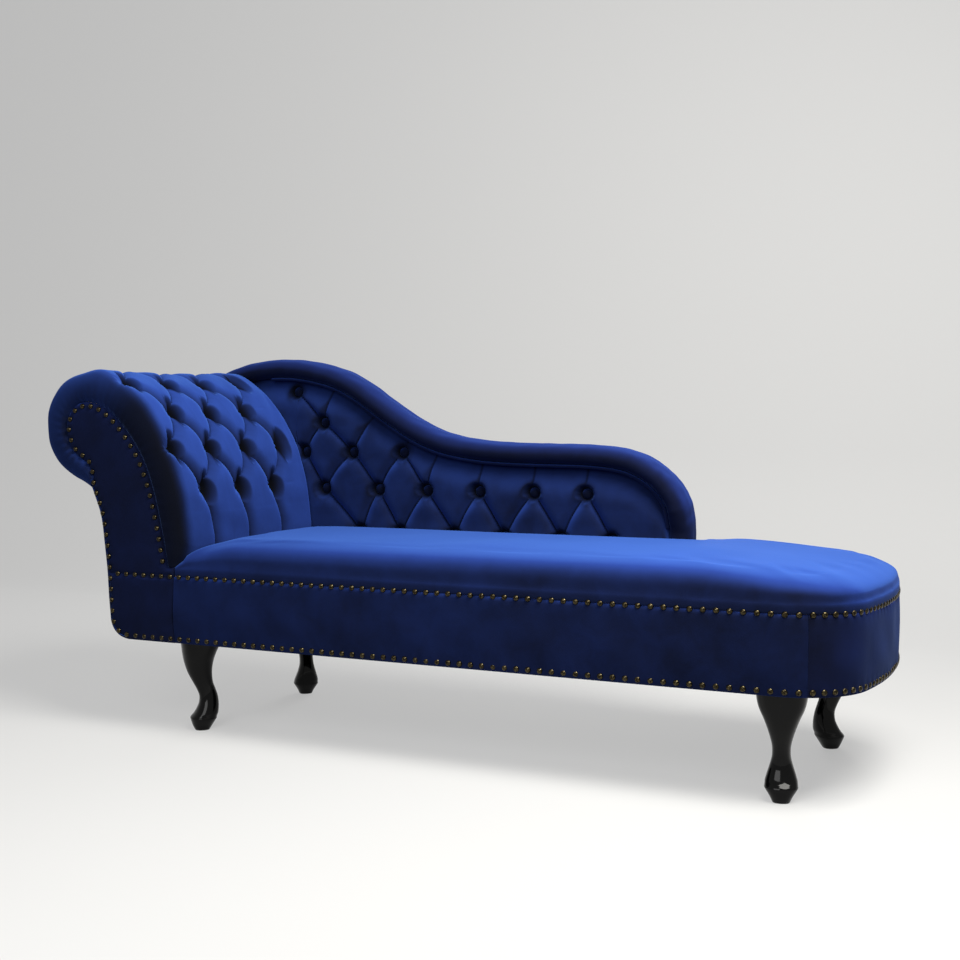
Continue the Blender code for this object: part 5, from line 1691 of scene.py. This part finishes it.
@dataclass
class NailRow:
    """A row of domed upholstery nails."""

    name: str
    radius: float = 0.0054
    profile: tuple = (
        (1.0, -0.0012), (1.0, 0.0003), (0.90, 0.0017), (0.66, 0.0029), (0.34, 0.0035), (0.0, 0.0037),
    )
    sides: int = 14

    def build(self, centres: Points, outward: Points) -> None:
        """Builds the row as one piece.

        Args:
            centres: where each nail enters the cloth.
            outward: the unit vector that each nail's dome points along, which is never upright.
        """
        points, faces = [], []
        turn = np.linspace(0, 2 * math.pi, self.sides, endpoint=False)
        for centre, way in zip(centres, outward):
            side = np.cross(way, [0.0, 0.0, 1.0])
            side = side / np.linalg.norm(side)
            up = np.cross(side, way)
            start = len(points)
            for share, rise in self.profile[:-1]:
                reach = self.radius * share
                for angle in turn:
                    around = side * math.cos(angle) + up * math.sin(angle)
                    points.append(centre + way * rise + around * reach)
            points.append(centre + way * self.profile[-1][1])
            for level in range(len(self.profile) - 2):
                low = start + level * self.sides
                for i in range(self.sides):
                    j = (i + 1) % self.sides
                    faces.append([low + i, low + j, low + self.sides + j, low + self.sides + i])
            last = start + (len(self.profile) - 2) * self.sides
            faces += [[last + i, last + (i + 1) % self.sides, len(points) - 1] for i in range(self.sides)]
            faces.append(list(range(start, start + self.sides)))
        obj = mesh_object(self.name, np.array(points), faces, 70.0)
        dress(obj, BRASS)


@dataclass
class Bands:
    """The velvet bands round the base with their two rows of nails."""

    head_seam: float = -0.506
    seam_x: float = 0.742
    bulge: float = 0.0030
    tight: float = 0.0014
    foot_pitch: float = 0.0192
    lower_nails: float = 0.1945
    upper_start: float = -0.1415
    lower_start: float = -0.0968
    # How the nails and seams draw the cloth in, and how the wadding swells between them
    nail_sinks: float = 0.0006
    dimple: float = 0.0009
    pinch: float = 0.0012
    pinch_reach: float = 0.009
    swell: float = 0.0008
    step: float = 0.0056

    def seam_angle(self) -> float:
        """Returns the angle on the corner where the long bands end."""
        return math.degrees(math.acos((self.seam_x - corner_centre()[0]) / CORNER_RADIUS))

    def plan(self) -> Route:
        """Returns the outline of the base, from the head seam at the front round the foot to the rear one."""
        foot = foot_curve(0.0, corner_steps=40, bow_steps=60)
        return Route(np.vstack([(self.head_seam, FRONT), foot, (self.head_seam, REAR)]))

    def seams(self) -> tuple[float, float, float]:
        """Returns the distances along the plan of both corner seams and of the rear end."""
        route = self.plan()
        corner = corner_centre()[0] - self.head_seam
        turned = math.radians(90 - self.seam_angle()) * CORNER_RADIUS
        return corner + turned, route.length - corner - turned, route.length

    def round_foot(self, distance: Points) -> Points:
        """Returns 1 on the rounded foot end, where the cloth is pulled tighter, and 0 on the sides."""
        first, second, _ = self.seams()
        return hill(distance, first - 0.03, first + 0.10, second - 0.10, second + 0.03)

    def profile(self) -> Points:
        """Returns the section of a band as distance outwards, height and share of the puckers."""
        rows = [(-0.0048, SEAM_Z, 0.0), (-0.0022, SEAM_Z, 0.3)]
        for share in np.linspace(1.0, 0.0, 20):
            height = BASE_BOTTOM + 0.0035 + (SEAM_Z - BASE_BOTTOM - 0.0045) * share
            swell = self.bulge * math.sin(math.pi * share) ** 0.6 if 0 < share < 1 else 0.0
            rows.append((-0.0008 + swell, height, 1.0))
        turned = ((-0.0022, 0.0010), (-0.0048, 0.0), (-0.0050, 0.003))
        rows += [(out, BASE_BOTTOM + rise, 0.0) for out, rise in turned]
        return np.array(rows)

    def build(self) -> None:
        """Builds the three bands and both rows of nails."""
        route = self.plan()
        first, second, end = self.seams()
        ends = (0.0, first, second, end)
        for side, start, stop in zip(("front", "foot", "rear"), ends, ends[1:]):
            distance = np.linspace(start + GAP, stop - GAP, max(8, round((stop - start) / self.step)))
            place, outward = route.at(distance), route.right(distance)
            profile = self.profile()
            close = np.minimum(distance - start, stop - distance)[:, None]
            pinch = 1 - ease(close, 0.0, self.pinch_reach)
            height = profile[None, :, 1]
            nails = np.cos(2 * math.pi * distance / NAIL_PITCH)[:, None]
            upper = np.exp(-(((height - SEAM_Z) / 0.010) ** 2))
            rows = upper + np.exp(-(((height - self.lower_nails) / 0.009) ** 2))
            swell = self.swell * ripple(distance[:, None], height * 1.5, 0.11, 51)
            tight = self.tight * self.round_foot(distance)[:, None]
            relief = -self.dimple * rows * nails - self.pinch * pinch + swell - tight
            out = profile[None, :, 0] + profile[None, :, 2] * relief
            spot = place[:, None, :] + outward[:, None, :] * out[..., None]
            rings = np.stack([spot[..., 0], spot[..., 1], np.broadcast_to(height, out.shape)], axis=-1)
            obj = loft(f"base_{side}_band", rings, 60.0)
            # The foot band gets the darker velvet copy, as painted shade.
            pile = PAINTED_DARKER_VELVET if side == "foot" else VELVET
            dress(obj, pile, (f"seat_{side}_band",))
        self.nail_rows(route)

    def nail_rows(self, route: Route) -> None:
        """Sets the nails along the top and the bottom of the bands."""
        first, second, _ = self.seams()
        for name, height, start in (
            ("upper_nails", SEAM_Z, self.upper_start), ("lower_nails", self.lower_nails, self.lower_start),
        ):
            front = np.arange(start, first, NAIL_PITCH)
            foot = np.arange(front[-1] + NAIL_PITCH, second, self.foot_pitch)
            rear = np.arange(foot[-1] + NAIL_PITCH, route.length - start, NAIL_PITCH)
            distance = np.concatenate([front, foot, rear])
            place = route.at(distance)
            outward = route.right(np.clip(distance, 0.001, route.length - 0.001))
            before = distance < 0
            place[before, 0] = self.head_seam + distance[before]
            past = distance > route.length
            place[past, 0] = self.head_seam - (distance[past] - route.length)
            sunk = self.nail_sinks + self.tight * self.round_foot(distance)[:, None]
            centres = np.column_stack([place - outward * sunk, np.full(len(distance), height)])
            ways = np.column_stack([outward, np.zeros(len(distance))])
            NailRow(name).build(centres, ways)


@dataclass
class FlatCover:
    """A flat piece of velvet over a thin layer of wadding, held at its edges."""

    name: str
    node: str
    outline: Points
    side: Side
    dome: float = 0.0022
    step: float = 0.005
    # The crown over the wadding, the turned edge, the waves and the dimples at the nails
    dome_reach: float = 0.022
    turned: float = 0.0024
    turned_reach: float = 0.0018
    wave: float = 0.0004
    dimple: float = 0.0016
    dimple_reach: float = 0.0075
    nails: Points | None = None

    def build(self) -> None:
        """Builds the cover with its turned edges and the dimples at its nails."""
        places, cells = filled(self.outline, self.step)
        away = edge_distance(places, self.outline)
        rise = self.dome * (1 - np.exp(-away / self.dome_reach))
        rise -= self.turned * np.exp(-away / self.turned_reach)
        # The length of the name picks the waves, so that no two covers are alike.
        rise += self.wave * ripple(places[:, 0], places[:, 1], 0.09, len(self.name))
        if self.nails is not None:
            near = np.min(np.linalg.norm(places[:, None] - self.nails[None], axis=2), axis=1)
            rise -= self.dimple * np.exp(-((near / self.dimple_reach) ** 2))
        sign = self.side.value
        face = sign * DEPTH / 2
        front = np.column_stack([places[:, 0], face + sign * rise, places[:, 1]])
        rim = len(self.outline)
        rear = np.column_stack([self.outline[:, 0], np.full(rim, face - sign * COVER), self.outline[:, 1]])
        start = len(front)
        faces = [cell.tolist() for cell in cells]
        faces += [[i, (i + 1) % rim, start + (i + 1) % rim, start + i] for i in range(rim)]
        faces.append(list(range(start, start + rim)))
        obj = mesh_object(self.name, np.vstack([front, rear]), faces)
        # The darker velvet copy, as painted shade.
        dress(obj, PAINTED_DARKER_VELVET, (self.node,))


@dataclass
class HeadCovers:
    """The facing with its nails, the panels below it and the cloth over the outside of the head."""

    head: HeadPad
    nail_inset: float = 0.0095
    nails_below: float = 0.500
    nail_sinks: float = 0.0004
    tab_x: float = -0.5046
    tab_z: float = 0.3377
    panel_x: float = -0.506
    seam_clear: float = 0.004
    tuck: float = 0.012
    tucked_from: Place = (0.170, 0.185)
    hollow: float = 0.0022
    wave: float = 0.0006

    def side_x(self, height: float) -> float:
        """Returns x of the inset outside line at a height."""
        line = outside_line(COVER + GAP)[::-1]
        return float(np.interp(height, line[:, 1], line[:, 0]))

    def nail_line(self) -> Route:
        """Returns the line of the facing's nails, round the scroll and down the outside to the base."""
        outer = outside_line(self.nail_inset)
        outer = outer[outer[:, 1] < self.nails_below]
        return Route(np.vstack([NAIL_CURVE[4:-6], outer]))

    def build(self) -> None:
        """Builds every cover of the head and the nails on its front."""
        seam = SEAM_Z + GAP
        inner = outside_line(COVER + GAP)
        side = inner[inner[:, 1] > SEAM_Z + self.seam_clear]
        edge = self.head.edge(self.head.facing_margin)
        tab = [(self.tab_x, seam), (self.tab_x, self.tab_z), (edge[0][0], self.tab_z)]
        route = self.nail_line()
        distance = route.even(NAIL_PITCH)
        nails = route.at(distance)
        outline = np.vstack([tab, edge[1:], side, (self.side_x(seam), seam)])
        FlatCover("head_facing", "head_front_facing", outline, Side.FRONT, nails=nails).build()
        low = inner[inner[:, 1] < SEAM_Z - self.seam_clear]
        corner_x = OUTSIDE_BASE_X + OUTSIDE_CORNER
        step = [(corner_x + GAP, low[-1][1]), (corner_x + GAP, BASE_BOTTOM), (self.panel_x, BASE_BOTTOM)]
        lower = np.vstack([(self.panel_x, SEAM_Z), (self.side_x(SEAM_Z), SEAM_Z), low[:-1], step])
        FlatCover("head_base_panel", "head_lower_panel", lower, Side.FRONT).build()
        FlatCover("head_rear_base_panel", "head_rear_lower_panel", lower, Side.REAR).build()
        centres = np.column_stack([nails[:, 0], np.full(len(nails), FRONT - self.nail_sinks), nails[:, 1]])
        NailRow("facing_nails").build(centres, np.tile([0.0, -1.0, 0.0], (len(nails), 1)))
        self.outside()

    def outside(self) -> None:
        """Builds the cloth over the outside of the head."""
        outer, inner = Route(outside_line(0.0)), outside_line(COVER)
        across = np.linspace(FRONT, REAR, 90)
        share = np.abs(across) / (DEPTH / 2)
        ahead = outer.points[0] - outer.points[1]
        ahead = ahead / np.linalg.norm(ahead)
        rings = []
        for y, edge in zip(across, share):
            turned = 0.0030 * ease(np.array(edge), 0.985, 1.0)
            wave = self.wave * ripple(outer.marks, np.full(len(outer.marks), y), 0.12, 61)
            sink = self.hollow * (1 - edge**4) + wave
            skin = outer.points - outer.right(outer.marks) * (turned + sink)[:, None]
            line = np.vstack([skin, inner[::-1]])
            line[[0, -1]] += ahead * self.tuck * ease(np.array(y), *self.tucked_from)
            rings.append(np.column_stack([line[:, 0], np.full(len(line), y), line[:, 1]]))
        obj = loft("head_outside", np.array(rings))
        dress(obj, VELVET, ("head_outside_cover",))


@dataclass
class BackOutside:
    """The flat cloth over the outside of the back."""

    foot_x: float = 0.405
    lowest: float = 0.3364

    def build(self) -> None:
        """Builds the cover from below the roll down to the base."""
        distance = ROLL_ROUTE.even(0.012)
        top = ROLL_ROUTE.at(distance) + ROLL_ROUTE.right(distance) * (ROLL_DROP + GAP)
        top = top[top[:, 1] > self.lowest + 0.006]
        seam = SEAM_Z + GAP
        inner = outside_line(COVER + GAP)
        side = inner[inner[:, 1] > SEAM_Z + 0.004]
        first = float(np.interp(seam, inner[::-1, 1], inner[::-1, 0]))
        foot = [(top[-1][0], self.lowest), (self.foot_x, self.lowest), (self.foot_x, seam), (first, seam)]
        outline = np.vstack([top, foot, side[::-1]])
        FlatCover("back_outside", "back_outside_cover", outline, Side.REAR, dome=0.003, step=0.009).build()


@dataclass
class CabrioleLeg:
    """A lacquered cabriole leg: a round knee, a slim ankle and a toe that points outwards."""

    node: str
    x: float
    y: float
    yaw: float
    sides: int = 48
    steps: int = 6
    squareness: float = 2.4
    top: float = RAIL_BOTTOM - GAP
    # Height, shift towards the toe, half depth and half width of each section
    sections: tuple = (
        (0.0000, 0.0000, 0.0140, 0.0140), (0.0016, 0.0000, 0.0152, 0.0150),
        (0.0100, -0.0005, 0.0200, 0.0190), (0.0225, -0.0024, 0.0258, 0.0268),
        (0.0260, -0.0028, 0.0262, 0.0272), (0.0300, -0.0050, 0.0252, 0.0268),
        (0.0350, -0.0080, 0.0240, 0.0262), (0.0450, -0.0114, 0.0217, 0.0232),
        (0.0560, -0.0134, 0.0196, 0.0196), (0.0700, -0.0125, 0.0184, 0.0160),
        (0.0840, -0.0075, 0.0188, 0.0151), (0.0980, -0.0015, 0.0202, 0.0165),
        (0.1180, 0.0044, 0.0245, 0.0218), (0.1380, 0.0065, 0.0290, 0.0290),
        (0.1560, 0.0055, 0.0335, 0.0370), (0.1720, 0.0030, 0.0380, 0.0412),
        (0.1897, 0.0010, 0.0425, 0.0425),
    )

    def build(self) -> None:
        """Builds the leg."""
        rows = spline(list(self.sections), self.steps)
        rows[:, 0] = np.clip(rows[:, 0], 0.0, self.top)
        turn = np.linspace(0, 2 * math.pi, self.sides, endpoint=False)
        cosine, sine = np.cos(turn), np.sin(turn)
        power = 2 / self.squareness
        depth = np.sign(cosine) * np.abs(cosine) ** power
        width = np.sign(sine) * np.abs(sine) ** power
        toe = np.array([math.cos(math.radians(self.yaw)), math.sin(math.radians(self.yaw))])
        across = np.array([-toe[1], toe[0]])
        rings = []
        for height, centre, half_depth, half_width in rows:
            u, w = depth * half_depth + centre, width * half_width
            plan = np.array([self.x, self.y]) + np.outer(u, toe) + np.outer(w, across)
            rings.append(np.column_stack([plan, np.full(self.sides, height)]))
        obj = loft(self.node.replace("leg", "cabriole_leg"), np.array(rings), 50.0)
        dress(obj, LACQUER, (self.node,))


LEGS = (
    CabrioleLeg("leg_front_head", -0.494, -0.201, 225.0),
    CabrioleLeg("leg_rear_head", -0.510, 0.201, 135.0),
    CabrioleLeg("leg_front_foot", 0.688, -0.206, 283.0),
    CabrioleLeg("leg_rear_foot", 0.688, 0.203, 38.0),
)


@dataclass
class Underseat:
    """The webbing and burlap that carry the seat, the dust cover below and the foam inside."""

    cross_straps: int = 7
    long_straps: int = 2
    leg_hole: float = 0.050
    strap_step: float = 0.010
    strap_edge: float = 0.0006
    cloth_step: float = 0.012
    cloth_wave: float = 0.0002
    cloth_thick: float = 0.0009
    # The seat's foam stays inside the cover, narrower by a share and lower between two heights
    seat_foam_slims: float = 0.93
    seat_foam_sinks: float = 0.012
    foam_heights: Place = (0.340, 0.370)
    foam_arris: float = 0.0012
    leg_tops: tuple = ((-0.4947, -0.2017), (-0.5107, 0.2017), (0.6882, -0.2070), (0.6888, 0.2036))

    def build(self) -> None:
        """Builds every cloth below the cushion and dresses the foam."""
        for i in range(self.cross_straps):
            self.strap(f"cross_strap_{i + 1}", 1)
        for i in range(self.long_straps):
            self.strap(f"long_strap_{i + 1}", 0)
        self.burlap()
        self.dust_cover()
        for node in ("seat_foam", "head_foam", "back_foam", "back_roll_filling"):
            self.foam(node)

    def strap(self, node: str, run: int) -> None:
        """Builds one strap of webbing where its solid lies.

        Args:
            node: the solid.
            run: the axis that the strap runs along, 0 for x and 1 for y.
        """
        low, high = (np.array(corner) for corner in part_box(node))
        side = 1 - run
        near, far, middle = low[side] + self.strap_edge, high[side] - self.strap_edge, (low[2] + high[2]) / 2
        outline = np.array([
            (near, low[2]), (far, low[2]), (high[side], middle),
            (far, high[2]), (near, high[2]), (low[side], middle),
        ])
        count = max(12, round((high[run] - low[run]) / self.strap_step))
        rings = []
        for along in np.linspace(low[run], high[run], count):
            ring = np.zeros((len(outline), 3))
            ring[:, run] = along
            ring[:, [side, 2]] = outline
            rings.append(ring)
        obj = loft(f"woven_{node}", np.array(rings), 40.0)
        dress(obj, JUTE, (node,))

    def burlap(self) -> None:
        """Builds the burlap that lies on the straps."""
        outline, _ = Seat().plan(COVER + 0.005, COVER + 2 * GAP)
        straps = [f"woven_long_strap_{i + 1}" for i in range(self.long_straps)]
        self.cloth("burlap_sheet", "seat_burlap", outline, HESSIAN, Slot.WEBBING, straps)

    def dust_cover(self) -> None:
        """Builds the black cloth under the base, cut out round the legs."""
        inset = COVER + GAP
        head_x = OUTSIDE_BASE_X + OUTSIDE_CORNER + 2 * GAP
        outline = np.vstack([(head_x, FRONT + inset), foot_curve(inset), (head_x, REAR - inset)])
        outline = Route(np.vstack([outline, outline[:1]]))
        outline = outline.at(outline.even(self.cloth_step))[:-1]
        rails = ["front_rail", "rear_rail"]
        self.cloth("dust_sheet", "dust_cover", outline, CAMBRIC, Slot.CAMBRIC, rails, holes=True)

    def cloth(
        self, name: str, node: str, outline: Points, finish: Finish, slot: Slot, rests_on: list[str],
        holes: bool = False,
    ) -> None:
        """Builds a level sheet of cloth.

        Args:
            name: the piece's name.
            node: the solid that it replaces.
            outline: its edge in plan.
            finish: what it is made of.
            slot: the record's slot of the finish; not used.
            rests_on: the pieces that it is stretched over; not used.
            holes: whether it is cut out round the legs.
        """
        low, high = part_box(node)
        places, cells = filled(outline, self.cloth_step)
        cells = np.array([cell for cell in cells if len(cell) == 3])
        if holes:
            centre = places[cells].mean(axis=1)
            away = np.min([np.linalg.norm(centre - np.array(top), axis=1) for top in self.leg_tops], axis=0)
            cells = cells[away > self.leg_hole]
        wave = self.cloth_wave * ripple(places[:, 0], places[:, 1], 0.06, 71)
        used = np.unique(cells)
        number = np.full(len(places), -1)
        number[used] = np.arange(len(used))
        level = (float(low.z) + float(high.z)) / 2
        points = np.column_stack([places[used], np.full(len(used), level) + wave[used]])
        obj = mesh_object(name, points, number[cells].tolist(), 180.0)
        thick = obj.modifiers.new("thickness", "SOLIDIFY")
        thick.thickness = self.cloth_thick
        thick.offset = 0.0
        dress(obj, finish, (node,))

    def foam(self, node: str) -> None:
        """Builds a cut block of foam with rounded arrises where its solid lies."""
        obj = linked(f"{node}_block", frame["nodes"][node].data.copy())
        if node == "seat_foam":
            for vertex in obj.data.vertices:
                vertex.co.y *= self.seat_foam_slims
                sink = self.seat_foam_sinks + float(Seat().slope(np.array(vertex.co.x)))
                vertex.co.z -= sink * float(ease(np.array(vertex.co.z), *self.foam_heights))
        arris = obj.modifiers.new("arris", "BEVEL")
        arris.width = self.foam_arris
        arris.segments = 2
        arris.limit_method = "ANGLE"
        arris.angle_limit = math.radians(40)
        dress(obj, FOAM, (node,))


@dataclass
class Studio:
    """Camera, pale floor and wall, and soft lamps."""

    eye: tuple[float, float, float] = (1.177, -2.338, 0.611)
    azimuth: float = 25.976
    elevation: float = 2.220
    lens: float = 49.17
    sensor: float = 36.0
    wall_y: float = 1.9
    cove: float = 0.55
    reach: float = 7.0
    wall_top: float = 4.5
    air: str = "#e9e9e7"
    room_glow: float = 0.10
    seen_glow: float = 0.75

    def camera(self) -> None:
        """Sets the camera where the photograph was taken from."""
        data = bpy.data.cameras.new("camera")
        data.lens = self.lens
        data.sensor_width = self.sensor
        data.sensor_fit = "HORIZONTAL"
        obj = linked("camera", data)
        turn, tilt = math.radians(self.azimuth), math.radians(self.elevation)
        way = Vector((-math.sin(turn) * math.cos(tilt), math.cos(turn) * math.cos(tilt), -math.sin(tilt)))
        obj.rotation_euler = way.to_track_quat("-Z", "Y").to_euler()
        obj.location = self.eye
        bpy.context.scene.camera = obj

    def surroundings(self) -> None:
        """Builds the floor that curves up into the wall."""
        corner = arc((self.wall_y - self.cove, self.cove), self.cove, -90, 0, 24)
        profile = np.vstack([(-self.reach, 0.0), (-1.0, 0.0), corner, (self.wall_y, self.wall_top)])
        rows = [np.column_stack([np.full(len(profile), x), profile]) for x in (-self.reach, self.reach)]
        count = len(profile)
        faces = [[i, i + 1, count + i + 1, count + i] for i in range(count - 1)]
        obj = mesh_object("floor_and_wall", np.vstack(rows), faces, 60.0)
        obj.data.flip_normals()
        obj.data.materials.append(PaintedPlaster("matt_wall_paint").material())
        obj.visible_shadow = False

    def lamp(self, name: str, place: tuple, target: tuple, size: float, watts: float, colour: str) -> None:
        """Adds a soft square lamp.

        Args:
            name: the lamp's name.
            place: where it hangs.
            target: what it points at.
            size: the length of its side.
            watts: its power.
            colour: the colour of its light.
        """
        data = bpy.data.lights.new(name, "AREA")
        data.size = size
        data.energy = watts
        data.color = linear(colour)[:3]
        obj = linked(name, data)
        obj.location = place
        way = Vector(target) - Vector(place)
        obj.rotation_euler = way.to_track_quat("-Z", "Y").to_euler()

    def light(self) -> None:
        """Hangs the lamps and fills the room with a dim even light."""
        self.lamp("window_lamp", (1.15, -0.60, 2.0), (-0.1, 0.0, 0.40), 1.2, 88.0, "#fffdf8")
        self.lamp("fill_lamp", (0.3, -2.3, 1.5), (0.0, 0.0, 0.40), 1.3, 30.0, "#ffffff")
        self.lamp("rear_lamp", (-0.8, 3.0, 0.8), (0.0, 0.0, 0.45), 1.0, 26.0, "#ffffff")
        world = bpy.data.worlds.new("room_light")
        world.use_nodes = True
        tree = world.node_tree
        tree.nodes.clear()
        strength = add_node(tree, "MapRange", {
            "Value": looked_at(tree), "To Min": self.room_glow, "To Max": self.seen_glow,
        })
        even = add_node(tree, "Background", {
            "Color": linear(self.air), "Strength": strength.outputs[0],
        })
        add_node(tree, "OutputWorld", {"Surface": even.outputs[0]})
        bpy.context.scene.world = world
        bpy.context.scene.view_settings.view_transform = "Standard"

    def build(self) -> None:
        """Sets up camera, surroundings and light."""
        self.camera()
        self.surroundings()
        self.light()


def dress_frame() -> None:
    """Gives each solid that still shows the finish of its slot."""
    for part in frame["record"]["subparts"]:
        node = frame["nodes"][part["node"]]
        finish = CARRIED.get(Slot(part["material_slot"]))
        if finish is None or node.hide_render:
            continue
        node.data.materials.clear()
        node.data.materials.append(finish.material())
        log.info("%s: %s", node.name, finish.name)


def main() -> None:
    """Builds the room, then each part of the chaise longue in the order that an upholsterer would."""
    Studio().build()
    for leg in LEGS:
        leg.build()
    Underseat().build()
    head = HeadPad()
    head.build()
    HeadCovers(head).build()
    BackPad(head=head).build()
    BackRoll().build()
    BackOutside().build()
    Seat().build()
    Bands().build()
    dress_frame()
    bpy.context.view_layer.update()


if __name__ == "__main__":
    main()
